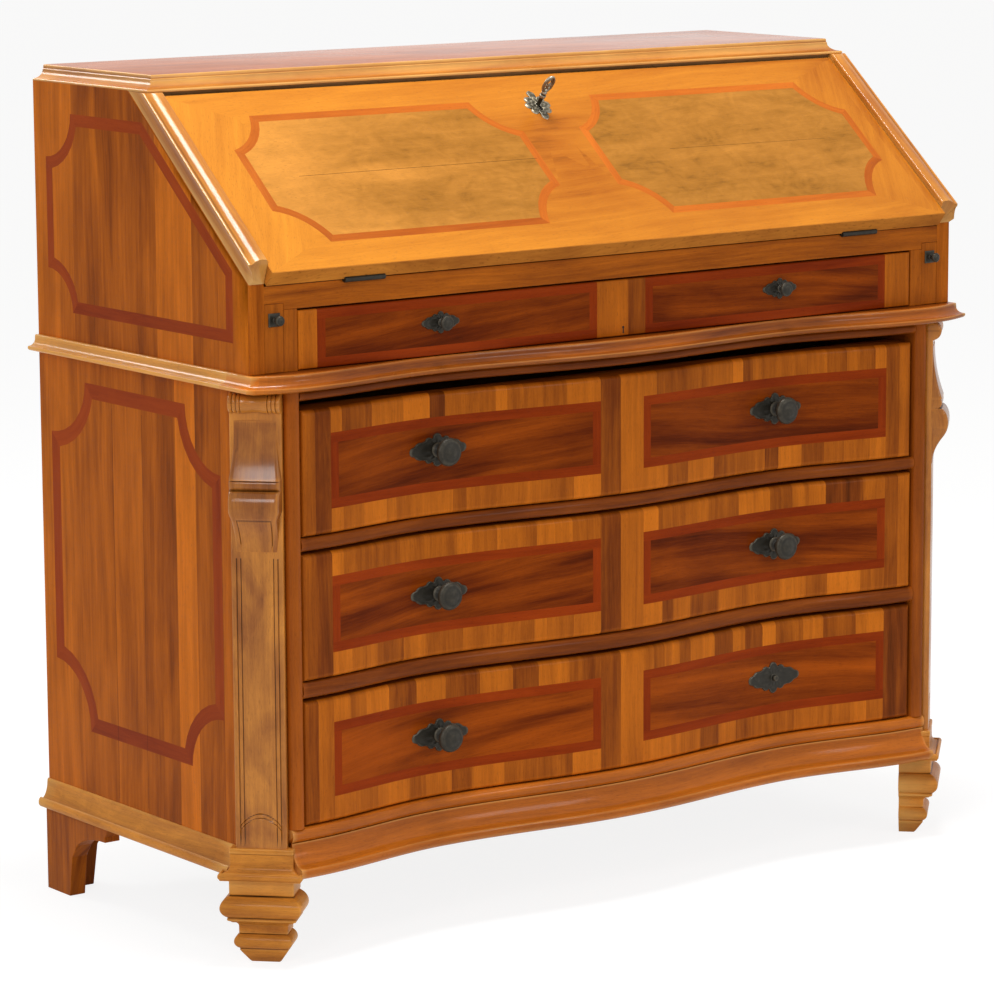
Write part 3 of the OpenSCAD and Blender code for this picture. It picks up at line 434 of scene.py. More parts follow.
def along_front(profile, reach, steps, low, high):
    """Rings of a profile of depths and heights carried along the serpentine line, with a flat back."""
    x = np.linspace(-reach, reach, steps)[:, None]
    p, z = profile.T
    y = np.concatenate([front_y(x) + p, np.full((steps, 2), FRAME_Y)], axis=1)
    return joined(x, y, np.append(z, (low, high)))


def on_fall(x, u, w):
    """Point of the fall: across, up the slant and out of it."""
    c, s = math.cos(SLANT), math.sin(SLANT)
    return joined(x, HINGE[1] + u * c - w * s, HINGE[2] + u * s + w * c)


def on_cant(side, s, out, z):
    """Point of a canted corner: along its face, out of it and up; side is -1 at the left, 1 at the right."""
    x = SIDE_X - CANT / 2 - HALF_ROOT * (s - out)
    y = CANT_Y - CANT / 2 - HALF_ROOT * (s + out)
    return joined(side * x, y, z)


# ---- Stage ---------------------------------------------------------------------------------------------


class CABINET_OT_stage(Operator):
    """Floor, light and camera"""

    bl_idname = "cabinet.stage"
    bl_label = "Stage"

    def execute(self, context):
        stage = context.scene.cabinet_stage
        context.scene.view_settings.view_transform = "Standard"
        mesh = bpy.data.meshes.new("floor")
        corners = ((-1, -1), (1, -1), (1, 1), (-1, 1))
        mesh.from_pydata([(x * FLOOR_HALF, y * FLOOR_HALF, 0) for x, y in corners], [], [(0, 1, 2, 3)])
        floor = bpy.data.objects.new("floor", mesh)
        context.scene.collection.objects.link(floor)
        mesh.materials.append(floor_finish())
        context.scene.world = bpy.data.worlds.new("studio")
        g = Graph(context.scene.world)
        light = g.node("ShaderNodeBackground", {"Color": (1.0, 0.985, 0.96, 1), "Strength": stage.ambient})
        white = g.node("ShaderNodeBackground", {"Color": (1, 1, 1, 1)})
        mix = g.node("ShaderNodeMixShader", {0: g.seen(), 1: light.outputs[0], 2: white.outputs[0]})
        g.node("ShaderNodeOutputWorld", {"Surface": mix.outputs[0]})
        for name, (_, _, place, target, size) in LAMPS.items():
            self.lamp(context, name, place, target, size, getattr(stage, name))
        self.camera(context, stage)
        return {"FINISHED"}

    def lamp(self, context, name, place, target, size, power):
        """Square lamp turned to its target."""
        data = bpy.data.lights.new(name, "AREA")
        data.shape = "SQUARE"
        data.size = size
        data.energy = power
        lamp = bpy.data.objects.new(name, data)
        lamp.location = place
        lamp.rotation_euler = (Vector(target) - Vector(place)).to_track_quat("-Z", "Y").to_euler()
        context.scene.collection.objects.link(lamp)

    def camera(self, context, stage):
        """Camera looking along (sin yaw cos pitch, cos yaw cos pitch, -sin pitch), rolled about that line."""
        data = bpy.data.cameras.new("camera")
        data.sensor_fit = "HORIZONTAL"
        data.sensor_width = 36.0
        data.lens = stage.lens
        sin_yaw, sin_pitch, s = (math.sin(angle) for angle in stage.turn)
        cos_yaw, cos_pitch, c = (math.cos(angle) for angle in stage.turn)
        forward = Vector((sin_yaw * cos_pitch, cos_yaw * cos_pitch, -sin_pitch))
        right = Vector((cos_yaw, -sin_yaw, 0))
        up = right.cross(forward)
        right, up = c * right + s * up, c * up - s * right
        turn = Matrix((right, up, -forward)).transposed()
        camera = bpy.data.objects.new("camera", data)
        camera.matrix_world = Matrix.Translation(stage.place) @ turn.to_4x4()
        context.scene.collection.objects.link(camera)
        context.scene.camera = camera


# ---- Finishes ------------------------------------------------------------------------------------------


class Graph:
    """Nodes of one material or world."""

    def __init__(self, owner):
        self.owner = owner
        owner.use_nodes = True
        self.tree = owner.node_tree
        self.tree.nodes.clear()

    def node(self, kind, inputs=None, **settings):
        made = self.tree.nodes.new(kind)
        for key, value in settings.items():
            setattr(made, key, value)
        for key, value in (inputs or {}).items():
            if isinstance(value, bpy.types.NodeSocket):
                self.tree.links.new(value, made.inputs[key])
            else:
                made.inputs[key].default_value = value
        return made

    def maths(self, operation, a, b=0.0, clamp=False):
        return self.node("ShaderNodeMath", {0: a, 1: b}, operation=operation, use_clamp=clamp).outputs[0]

    def plus(self, a, b, clamp=False):
        return self.maths("ADD", a, b, clamp)

    def times(self, a, b, clamp=False):
        return self.maths("MULTIPLY", a, b, clamp)

    def mix(self, share, a, b):
        return self.node("ShaderNodeMix", {0: share, 6: a, 7: b}, data_type="RGBA").outputs[2]

    def swayed(self, value, pattern, strength, clamp=False):
        """The value plus strength times (pattern - 0.5)."""
        return self.plus(value, self.times(self.maths("SUBTRACT", pattern, 0.5), strength), clamp)

    def attribute(self, name):
        return self.node("ShaderNodeAttribute", attribute_name=name).outputs["Fac"]

    def place(self):
        return self.node("ShaderNodeTexCoord").outputs["Object"]

    def seen(self):
        """1 for the camera and for what mirrors or glass shows, 0 for the light that falls on things."""
        path = self.node("ShaderNodeLightPath").outputs
        either = self.maths("MAXIMUM", path["Is Camera Ray"], path["Is Transmission Ray"])
        return self.maths("MAXIMUM", either, path["Is Glossy Ray"])

    def noise(self, vector, scale, detail=3.0, rough=0.5, warp=0.0):
        stretched = self.node("ShaderNodeMapping", {"Vector": vector, "Scale": scale}).outputs[0]
        return self.node("ShaderNodeTexNoise", {"Vector": stretched, "Scale": 1.0, "Detail": detail,
                                                "Roughness": rough, "Distortion": warp}).outputs[0]

    def ramp(self, value, stops):
        made = self.node("ShaderNodeValToRGB", {"Fac": value})
        elements = made.color_ramp.elements
        while len(elements) < len(stops):
            elements.new(0.5)
        for element, (place, colour) in zip(elements, stops):
            element.position = place
            element.color = colour
        return made.outputs[0]

    def spread(self, value, low, high, to_low, to_high):
        """Value mapped from one range onto another."""
        return self.node("ShaderNodeMapRange", {0: value, 1: low, 2: high, 3: to_low, 4: to_high}).outputs[0]

    def vector(self, operation, a, b):
        return self.node("ShaderNodeVectorMath", {0: a, 1: b}, operation=operation).outputs[0]

    def finish(self, shader):
        self.node("ShaderNodeOutputMaterial", {"Surface": shader.outputs[0]})
        return self.owner


def finish_graph(name):
    """Graph of a new material."""
    return Graph(bpy.data.materials.new(name))


def floor_finish():
    """Pale floor that looks white to the camera and still takes the shadow."""
    g = finish_graph("floor_white")
    matt = g.node("ShaderNodeBsdfDiffuse", {"Color": (0.78, 0.77, 0.75, 1)})
    thin = g.node("ShaderNodeBsdfDiffuse", {"Color": (0.2, 0.2, 0.2, 1)})
    glow = g.node("ShaderNodeEmission", {"Color": (1, 1, 1, 1), "Strength": 0.86})
    lit = g.node("ShaderNodeAddShader", {0: thin.outputs[0], 1: glow.outputs[0]})
    return g.finish(g.node("ShaderNodeMixShader", {0: g.seen(), 1: matt.outputs[0], 2: lit.outputs[0]}))


def rgba(colour, strength=1.0):
    """Colour with its light scaled, and full alpha."""
    return tuple(min(c * strength, 1.0) for c in colour) + (1.0,)


def grain_of(g, axis):
    """Grain's coordinates: the piece's UV map, or the place along one axis and the sum of the two others."""
    if axis is None:
        return g.node("ShaderNodeUVMap", uv_map="grain").outputs[0]
    part = g.node("ShaderNodeSeparateXYZ", {0: g.place()}).outputs
    first, second = (i for i in range(3) if i != axis)
    across = g.plus(part[first], g.times(part[second], 1.07))
    return g.node("ShaderNodeCombineXYZ", {0: part[axis], 1: across}).outputs[0]


def wood(name, light, dark, grime_and_shade, axis=None, streak=1.0, flame=0.0, cloud=0.0, burr=0.0, gloss=0.06,
         rough=0.36, crest=None, rubbed=True):
    """Polished veneer. The value that runs from dark to light wood is 0.5, plus long streaks, fine fibres,
    sine rings bent by noise, clouds, burr and the piece's own tone; pores darken it. By the relief, its
    hollows are darkened towards the grime colour, partly grime and partly painted shade, and its standing
    edges are lightened, partly rubbed wood and partly a painted highlight. Scales are turns per metre,
    along the grain and across it."""
    g = finish_graph(name)
    grain = grain_of(g, axis)
    waves = g.node("ShaderNodeMapping", {"Vector": grain, "Scale": (3.0, 9.0, 1.0)}).outputs[0]
    bend = g.node("ShaderNodeTexNoise", {"Vector": waves, "Scale": 1.0, "Detail": 2.0}).outputs[1]
    offset = g.vector("MULTIPLY", g.vector("SUBTRACT", bend, (0.5, 0.5, 0.5)), (0.0, 0.03, 0.0))
    bent = g.vector("ADD", grain, offset)
    fibres = g.noise(bent, (45.0, 1100.0, 1.0), detail=2.0)
    pores = g.noise(bent, (130.0, 1700.0, 1.0), detail=1.0)
    value = g.swayed(0.5, g.noise(bent, (3.5, 95.0, 1.0), detail=6.0, rough=0.66), streak)
    value = g.swayed(value, g.noise(grain, (5.0, 16.0, 1.0), detail=3.0, rough=0.55, warp=0.6), 0.65)
    value = g.swayed(value, fibres, 0.26)
    if flame:
        swirl = g.noise(grain, (2.2, 10.0, 1.0), detail=2.0)
        across = g.node("ShaderNodeSeparateXYZ", {0: grain}).outputs[1]
        rings = g.plus(g.times(across, 105.0), g.times(swirl, 15.0))
        value = g.plus(value, g.times(g.maths("SINE", rings), 0.14 * flame))
    for strength, scale, warp in ((1.5 * cloud, (9.0, 19.0, 1.0), 1.2), (1.6 * burr, (26.0, 34.0, 1.0), 2.2)):
        if strength:
            value = g.swayed(value, g.noise(grain, scale, detail=5.0, rough=0.6, warp=warp), strength)
    value = g.plus(value, g.times(g.attribute("tone"), 0.5), clamp=True)
    middle = tuple((a + b) / 2 for a, b in zip(light, dark))
    colour = g.ramp(value, [(0.0, rgba(dark, 0.45)), (0.22, rgba(dark)), (0.52, rgba(middle)),
                            (0.82, rgba(light)), (1.0, rgba(light, 1.15))])
    specks = g.spread(pores, 0.62, 0.74, 0.0, 0.45)
    colour = g.mix(specks, colour, rgba(dark, 0.4))
    age = g.noise(g.place(), (7.0, 7.0, 7.0), detail=4.0, rough=0.6)
    wear = g.attribute("wear") if rubbed else 0.0
    # Hollows darkened towards the grime colour: partly grime, partly painted shade
    dirt_and_shade = g.times(g.times(wear, -1.3), g.plus(age, 0.35), clamp=True)
    colour = g.mix(dirt_and_shade, colour, rgba(grime_and_shade))
    # Standing edges lightened: partly rubbed wood, partly a painted highlight
    rub = g.times(age, 1.3 if crest else 0.9)
    rub = g.times(g.maths("SUBTRACT", wear, 0.2), rub, clamp=True)
    colour = g.mix(rub, colour, rgba(crest) if crest else rgba(light, 1.25))
    height = g.maths("SUBTRACT", g.times(fibres, 0.4), g.times(specks, 1.2))
    height = g.plus(height, g.times(age, 0.5))
    bump = g.node("ShaderNodeBump", {"Strength": 0.35, "Distance": 0.0006, "Height": height})
    return g.finish(g.node("ShaderNodeBsdfPrincipled", {
        "Base Color": colour, "Roughness": g.spread(age, 0.3, 0.7, rough - 0.07, rough + 0.1),
        "Normal": bump.outputs[0], "IOR": 1.5, "Specular IOR Level": 0.03, "Coat Weight": gloss,
        "Coat Roughness": 0.14}))


def metal(name, colour, bright, rough, shine=0.7):
    """Old metal: blotches of patina on the bare colour, brighter where it stands out, dull in its hollows."""
    g = finish_graph(name)
    blotch = g.noise(g.place(), (160.0,) * 3, detail=4.0, rough=0.65)
    fine = g.noise(g.place(), (960.0,) * 3, detail=2.0)
    # Brighter where it stands out: partly rubbed metal, partly a painted highlight
    wear = g.times(g.attribute("wear"), 0.55)
    share = g.plus(wear, g.times(blotch, 0.6), clamp=True)
    mixed = g.ramp(share, [(0.0, rgba(colour, 0.35)), (0.35, rgba(colour)), (0.7, rgba(bright)),
                           (1.0, rgba(bright, 1.4))])
    height = g.plus(blotch, g.times(fine, 0.3))
    bump = g.node("ShaderNodeBump", {"Strength": 0.5, "Distance": 0.0005, "Height": height})
    return g.finish(g.node("ShaderNodeBsdfPrincipled", {
        "Base Color": mixed, "Roughness": g.spread(blotch, 0.3, 0.7, rough + 0.12, rough - 0.06),
        "Normal": bump.outputs[0], "Metallic": shine, "Specular IOR Level": 0.3}))


def hollow(name, colour):
    """Painted shade of a keyhole: matt darkness with a little dust."""
    g = finish_graph(name)
    dust = g.noise(g.place(), (400.0,) * 3)
    mixed = g.ramp(dust, [(0.3, rgba(colour, 0.2)), (0.8, rgba(colour, 0.7))])
    return g.finish(g.node("ShaderNodeBsdfPrincipled", {"Base Color": mixed, "Roughness": 0.9}))


class CABINET_OT_finishes(Operator):
    """Woods and metals"""

    bl_idname = "cabinet.finishes"
    bl_label = "Finishes"

    def execute(self, context):
        tints = context.scene.cabinet_colours

        def stained(name, tint, deep=None, **ways):
            light, dark = getattr(tints, tint + "_light"), getattr(tints, (deep or tint) + "_dark")
            wood(name, light, dark, tints.grime_and_shade, **ways)

        stained("fall_ground", "fall", streak=0.7, gloss=0.08, rough=0.34)
        stained("fall_figure", "figure", streak=0.4, cloud=0.4, burr=0.3, gloss=0.08, rough=0.34)
        stained("fall_band", "band", streak=0.8, gloss=0.08, rough=0.34)
        stained("side_ground", "side", streak=0.85, flame=0.35, gloss=0.03)
        stained("side_band", "side_band", streak=0.7, gloss=0.03)
        stained("block_light", "block", streak=0.8)
        stained("drawer_field", "field", streak=0.9, flame=1.0, gloss=0.03)
        stained("drawer_band", "front_band", streak=0.7, gloss=0.03)
        # The crest colour lightens edges of moulding, rail_moulding and foot_wood: rubbed wood and a painted
        # highlight
        stained("moulding", "pale", streak=0.7, gloss=0.4, rough=0.3, crest=tints.crest)
        stained("rail_moulding", "block", "rail", streak=0.7, gloss=0.3, rough=0.3, crest=tints.crest)
        stained("flat_board", "rail", gloss=0.6, rough=0.32, rubbed=False)
        stained("rail", "rail", streak=0.8, gloss=0.1, rough=0.32)
        stained("carved", "carved", streak=0.7, cloud=0.6, gloss=0.5, rough=0.34)
        stained("foot_wood", "carved", streak=0.7, cloud=0.6, gloss=0.15, crest=tints.crest)
        stained("fall_board", "carved", axis=0, gloss=0.0, rough=0.6)
        stained("case_z", "side", axis=2)
        for axis, letter in enumerate("xyz"):
            stained("inner_" + letter, "inner", axis=axis, gloss=0.0, rough=0.6)
            if letter != "y":
                stained("front_" + letter, "block", axis=axis)
        # Painted shade that fills the keyholes, in the grime colour
        hollow("dark_hollow", tints.grime_and_shade)
        metal("patinated_bronze", tints.bronze, linear("4f493c"), 0.42, shine=0.3)
        metal("old_brass", tints.brass, linear("8c7038"), 0.42)
        metal("worn_steel", tints.steel, linear("aaa190"), 0.34)
        return {"FINISHED"}


# ---- Case ----------------------------------------------------------------------------------------------


class CABINET_OT_boards(Operator):
    """Plain boards, hinges and lock parts, which keep their own shapes"""

    bl_idname = "cabinet.boards"
    bl_label = "Plain boards and fittings"

    def execute(self, context):
        woods = {
            "inner_z": ["back_boards"],
            "inner_x": ["bottom_board", "top_rail", "shallow_drawer_box", "upper_drawer_box",
                        "middle_drawer_box", "lower_drawer_box"],
            "inner_y": ["drawer_runners", "gallery_frame"],
            "front_x": ["bed_board", "fall_rail", "gallery_drawer_left", "gallery_drawer_right"],
            "front_z": ["loper_partition_left", "loper_partition_right", "loper_left", "loper_right",
                        "foot_rear_left", "foot_rear_right"],
            "case_z": ["side_left", "side_right"],
            "fall_board": ["fall_panel"],
        }
        metals = {
            "old_brass": ["lock_case", "lock_strike"],
            "patinated_bronze": ["hinge_fixed_leaves", "hinge_moving_leaves", "hinge_pins"],
            "worn_steel": ["lock_bolt"],
        }
        for finish, nodes in (woods | metals).items():
            for node in nodes:
                board = NODES[node]
                board.data.materials.clear()
                board.data.materials.append(bpy.data.materials[finish])
                if finish not in metals:
                    weld = board.modifiers.new("Joined corners", "WELD")
                    weld.merge_threshold = 0.00001
                    soften(board, 0.8)
        return {"FINISHED"}


class CABINET_OT_mouldings(Operator):
    """Top board, waist, apron, base mouldings and slanted strips"""

    bl_idname = "cabinet.mouldings"
    bl_label = "Mouldings"

    def execute(self, context):
        self.top_board()
        self.waist()
        self.apron()
        for side, name in SIDES:
            self.base_moulding(side, "base_moulding_" + name)
            self.strip(side, "slant_strip_" + name)
        return {"FINISHED"}

    def top_board(self):
        """Hollow moulding with a lip, mitred round the front corners of a flat board."""
        lip = TOP_Z + 3
        profile = np.concatenate([
            at(0, TOP, (17.3, 0), (16.2, -0.4), (15.6, -1.4), (15.4, -4.6), (14.6, -5.6)),
            arc(0.9, TOP - 6, 13.7, 10.4, 0, -84, 12), at(0, lip, (0.9, 0.5), (0.2, -0.3), (0, -1.5)),
            at(0, TOP_Z, (0.3, 0.4), (0.9, 0))])
        p, z = profile.T
        x, y = SIDE_X - p, LIP_Y + p
        rows = [joined(side * x, depth, z) for side, depth in ((-1, BACK), (-1, y), (1, y), (1, BACK))]
        skin = Skin()
        mantle(skin, rows, tone=-0.35, flat_tone=-0.1, flat_finish=1)
        skin.make("top_board", "_wood", "moulding", "flat_board")

    def waist(self):
        """Moulded edge that follows the serpentine line, mitred to the two side mouldings.

        The lip stands 32 mm in front of the drawers, and its corners step back by a quarter cosine wave.
        """
        flat, low = 12.4, WAIST_Z + 8
        profile = np.concatenate([
            at(flat, SHELF_Z, (6, 0), (0, 0), (-0.8, -0.4), (-1.4, -1.4), (-1.6, -4.4)),
            arc(0.8, SHELF_Z - 5, flat - 2.4, SHELF_Z - 5.4 - low, 0, -84, 10),
            at(0, low, (0.8, 0.3), (0.15, -0.6), (0, -1.6)),
            at(0, WAIST_Z, (0.2, 5.4), (0.9, 4.2), (2.2, 3.2), (16.4, 0.1), (18.4, 0))])
        p, z = profile.T
        t = np.linspace(-1, 1, 121)[:, None]
        x = t * (WAIST_X - p)
        ear = 22 * (1 - np.cos(np.pi / 2 * (np.abs(x) - END_X) / (WAIST_X - END_X)))
        y = front_y(x) - 32 + np.where(np.abs(x) > END_X, ear, 0) + p
        front = joined(x, y, z)
        ends = [joined(side * (WAIST_X - p), CANT_Y, z)[None] for side, _ in SIDES]
        skin = Skin()
        # Tone raised at the left corner of the front: a painted highlight where the light falls
        lit = -0.3 + 1.2 * np.exp(-np.arange(len(front) + 1) / 5)
        mantle(skin, np.concatenate([ends[0], front, ends[1]]), tone=lit, flat_tone=-0.6)
        rear = span("waist_board")[1][1]
        slab(skin, [[-IN_X, CANT_Y], [IN_X, CANT_Y], [IN_X, rear], [-IN_X, rear]], 2, WAIST_Z, SHELF_Z, 0,
             tone=-0.3)
        skin.make("waist_board", "_wood", "rail_moulding")
        depth = WAIST_X - SIDE_X
        ring = np.append(profile, [[depth, WAIST_Z], [depth, SHELF_Z]], axis=0)
        ring = ring[(np.abs(ring[:, 0] - (flat + 6)) > 0.1) & (ring[:, 0] <= depth)]
        for side, name in SIDES:
            section = joined(side * (WAIST_X - ring[:, 0]), ring[:, 1])
            rings = carried(section, 1, np.linspace(CANT_Y, BACK, 12))
            # Their high tone lightens the side mouldings: a painted highlight
            lofted("waist_moulding_" + name, "_wood", "moulding", rings, tone=0.8, shift=(0, 300 * side))

    def apron(self):
        """Bead, cove and lip that follow the serpentine line under the drawers."""
        out = 24.0
        profile = np.concatenate([
            [[out + 1, LOW_Z]], arc(out, LOW_Z - 8, 6, 8, 90, 268, 14),
            arc(2, LOW_Z - 16.4, 19, 27.6, 0, -86, 14),
            at(0, BASE_Z, (1.2, 14.2), (0.3, 12.8), (0, 11.2), (0, 8.2), (1, 5.2), (4.6, 2.4), (12, 0))])
        rings = along_front(profile - (out, 0), STILE_OUT, 131, BASE_Z, LOW_Z)
        lofted("base_apron", "_wood", "rail_moulding", rings, tone=0.2)

    def base_moulding(self, side, node):
        """Ogee moulding along the foot of a side, ending against the corner block."""
        out = 16.5
        profile = np.concatenate([
            [[0, BASE_Z], [5.5, BASE_Z]], arc(out - 4.5, BASE_Z + 8.0, 4.5, 6.4, -80, 80, 8),
            arc(out - 1.5, BLOCK_Z - 3.4, 4.5 - out, 13.6 - 37.7, 88, 4, 12),
            at(0, BLOCK_Z, (2.6, -1.8), (1.6, -0.4), (0, 0))])
        rings = carried((profile + (SIDE_X, 0)) * (side, 1), 1, np.linspace(CANT_Y, BACK, 12))
        lofted(node, "_wood", "foot_wood", rings, tone=0.25, shift=(0, 500 * side))

    def strip(self, side, node):
        """Rounded strip over the slanted edge of a side, with a thin lip that overhangs the side."""
        crest, lip, outer = FALL_OUT + 7, FALL_OUT + 4, SIDE_X + 6
        profile = np.concatenate([
            [[IN_X, 0], [IN_X, crest - 2.6]], arc(IN_X + 2.6, crest - 2.6, 2.6, 2.6, 180, 90, 5),
            at(IN_X, crest, (5, 0.4), (8, 0.6), (11, 0.5), (14, 0), (17, -0.9), (20, -2.2), (22.4, -3.7)),
            at(outer, lip, (-3.4, -0.6), (-1.6, 0.1), (-0.5, -0.2), (0, -1.2), (-0.3, -2.2)),
            arc(outer, 10, -6, lip - 13, 84, 0, 8), [[SIDE_X, 0]]])
        x, w = profile.T
        c, s = math.cos(SLANT), math.sin(SLANT)
        nose = -9.5 - HINGE[1]
        low = np.where(w >= 10, (nose + w * s) / c, 4.6 + (w / 10) * ((nose + 10 * s) / c - 4.6))
        high = (TOP_Z - HINGE[2] - w * c) / s
        t = np.linspace(0, 1, 14)[:, None]
        u = low + (high - low) * t
        rings = on_fall(side * x, u, w)
        lofted(node, "_wood", "moulding", rings, tone=-0.15, shift=(0, 200 * side))


class CABINET_OT_front_frame(Operator):
    """Serpentine rails and the stiles beside the drawers"""

    bl_idname = "cabinet.front_frame"
    bl_label = "Rails and stiles"

    def execute(self, context):
        for number, name in enumerate(("top", "upper", "lower")):
            self.rail("drawer_rail_" + name, number)
        for side, name in SIDES:
            self.stile("stile_" + name, side)
        return {"FINISHED"}

    def rail(self, node, number):
        """Half-round nose that follows the serpentine line: an ellipse 6 mm deep and as high as the rail."""
        (_, _, low), (_, _, high) = span(node)
        nose = arc(3.5, (low + high) / 2, 6, (high - low) / 2, 90, 270, 12)
        lofted(node, "_wood", "rail", along_front(nose, STILE_IN, 121, low, high), tone=-0.45,
               shift=(300 * number, 90 * number))

    def stile(self, node, side):
        """Upright with a half-round nose 20 mm wide, the ellipse flattened at its crown."""
        low, high = span(node)
        middle, half = (STILE_IN + STILE_OUT) / 2, (STILE_OUT - STILE_IN) / 2
        nose = arc(middle, low[1] + 8, half, 8, 180, 360, 16)
        plan = np.concatenate([nose, [[STILE_OUT, FRAME_Y], [STILE_IN, FRAME_Y]]]) * (side, 1)
        rings = carried(plan, 2, np.linspace(low[2], high[2], 16))
        lofted(node, "_wood", "rail", rings, tone=0.15 - 0.2 * side, shift=(120 * side, 0))


# ---- Veneered fronts -----------------------------------------------------------------------------------


def block_widths(rng, start, end):
    """Borders of a row of crossbanding: widths between 16 and 58 mm, scaled to fill the row."""
    widths = rng.uniform(16, 58, 16)
    count = int(np.argmax(np.cumsum(widths) > end - start)) + 1
    edges = np.append(0, np.cumsum(widths[:count]))
    return start + edges * (end - start) / edges[-1]


def eased(distance, r):
    """Drop of a quarter circle of radius r at a distance from an edge."""
    return r - np.sqrt(r * r - np.clip(r - distance, 0, r) ** 2)


class CABINET_OT_drawer_fronts(Operator):
    """Serpentine fronts of the long drawers and flat front of the shallow one, with their veneers"""

    bl_idname = "cabinet.drawer_fronts"
    bl_label = "Drawer fronts"

    def execute(self, context):
        sizes = context.scene.cabinet_sizes
        layout = dict(uprights=[-463, -439, -33, -2, 35, 440, 461], panels=((-439, -33), (35, 440)),
                      tones=[-0.15, -0.5, 0, -0.4, 0.25, 0, -0.3, 0.1], cross=sizes.crossband,
                      band=sizes.drawer_band, rounding=sizes.rounding, sweep=front_y)
        self.front("upper_drawer_front", 11, sunk=5.0, **layout)
        self.front("middle_drawer_front", 22, **layout)
        layout.update(tones=[-0.4, 0.1, 0, -0.3, 0.4, 0, -0.6, -0.6], field_tone=0.05)
        self.front("lower_drawer_front", 33, **layout)
        face = span("shallow_drawer_front")[0][1]
        self.front("shallow_drawer_front", 44, uprights=[-455, -37, 12, 39, 438],
                   panels=((-455, -37), (39, 438)), tones=[0.4, 0, 0.25, -0.5, 0, 0.1], cross=0,
                   band=sizes.drawer_band, rounding=2.5, sweep=lambda x: face, sunk=0.0)
        return {"FINISHED"}

    def front(self, node, seed, uprights, panels, tones, cross, band, rounding, sweep, sunk=2.0,
              field_tone=-0.2):
        """Grid over the front whose lines lie on the borders of the veneers, its top sunk for the wide gap.

        A point's depth is the front's own line plus, near each edge, the drop of a quarter circle. Light and
        dark leaves alternate along the crossbanding.
        """
        rng = np.random.default_rng(seed)
        low, high = span(node)
        half, r, z0, z1 = high[0] - sunk / 2, rounding, low[2], high[2] - sunk
        uprights = np.array([-half, *uprights, half], float)
        rows = [[block_widths(rng, *panel) for panel in panels] for _ in range(2)] if cross else []
        around = r * np.array([0.0, 0.08, 0.3, 0.62, 1.0])
        lines = np.concatenate([uprights, *[b for row in rows for b in row], half - around, around - half,
                                *[[p[0] + band, p[1] - band] for p in panels], np.linspace(-half, half, 110)])
        x = np.unique(np.round(lines, 2))
        levels = np.array([z0 + cross, z0 + cross + band, z1 - cross - band, z1 - cross])
        z = np.unique(np.round(np.concatenate([z0 + around, z1 - around, levels,
                                               np.linspace(levels[1], levels[2], 4)]), 2))
        drop_x, drop_z = eased(half - np.abs(x), r), eased(np.minimum(z - z0, z1 - z), r)
        grid_x, grid_z = np.meshgrid(x, z)
        y = sweep(grid_x) + np.maximum(drop_x[None, :], drop_z[:, None])
        points = joined(grid_x, y, grid_z).reshape(-1, 3)
        m, n = len(z), len(x)
        quads, i, j = grid_faces(m, n)
        cx, cz = (x[j[:, 0]] + x[j[:, 1]]) / 2, (z[i[:, 0]] + z[i[:, 2]]) / 2
        angle = np.full(len(quads), np.pi / 2)
        finish = np.zeros(len(quads), int)
        strip = np.searchsorted(uprights, cx) - 1
        tone = (np.array(tones) + rng.normal(0, 0.08, len(tones)))[strip]
        shift = joined(strip * 311.0 + seed * 57, strip * 173.0)
        for side, (start, end) in enumerate(panels):
            inside = (cx > start) & (cx < end)
            for row, pair in enumerate(rows):
                borders = pair[side]
                here = inside & (cz < z0 + cross if row == 0 else cz > z1 - cross)
                number = np.clip(np.searchsorted(borders, cx) - 1, 0, len(borders) - 2)
                shades = np.where(np.arange(len(borders)) % 2 == 0, 0.34, -0.14)
                shades = shades + rng.normal(0, 0.24, len(borders))
                tone = np.where(here, shades[number], tone)
                leaf = joined(number * 97.0 + 500 * row + 900 * side, number * 61.0 + seed * 31)
                shift = np.where(here[:, None], leaf, shift)
            banded = inside & (cz > z0 + cross) & (cz < z1 - cross)
            level = banded & ((cz < z0 + cross + band) | (cz > z1 - cross - band))
            upright = banded & ~level & ((cx < start + band) | (cx > end - band))
            field = banded & ~level & ~upright
            finish = np.where(level | upright, 1, np.where(field, 2, finish))
            angle = np.where(level, 0.0, np.where(field, 0.1 - 0.16 * side, angle))
            tone = np.where(field, field_tone - 0.08 * side, tone)
            tone = np.where(level | upright, rng.normal(-0.1, 0.1), tone)
            shift = np.where(field[:, None], (700.0 * side + seed * 41, 130.0 * side + seed * 19), shift)
        # Rounded left and bottom edges, made lighter below: a painted highlight
        edge = (cx < -half + r) | (cz < z0 + r)
        flat = turned(points[quads][..., [0, 2]], angle[:, None], shift[:, None])
        boundary = np.concatenate([np.arange(n), np.arange(1, m) * n + n - 1,
                                   (m - 1) * n + np.arange(n - 2, -1, -1), np.arange(m - 2, 0, -1) * n])
        depth = np.zeros((len(boundary), 3))
        depth[:, 1] = high[1] - points[boundary][:, 1]
        skin = Skin()
        tone = np.where(edge, tone + 0.15, tone)
        backed(skin, points, [(quads, flat, tone, finish)], boundary, depth, tone=-0.3)
        # A dark insert of the keyhole's shape, standing for the shade in the hole: painted shade
        if not cross:
            foot = at(4, 726, (-1.1, -7.5), (1.1, -7.5))
            keyhole = np.append(arc(4, 726, 1.7, 1.7, -60, 240), foot, axis=0)
            slab(skin, keyhole, 1, low[1] - 0.05, low[1] + 3, 0, finish=3)
        skin.make(node, "_veneer", "block_light", "drawer_band", "drawer_field", "dark_hollow")


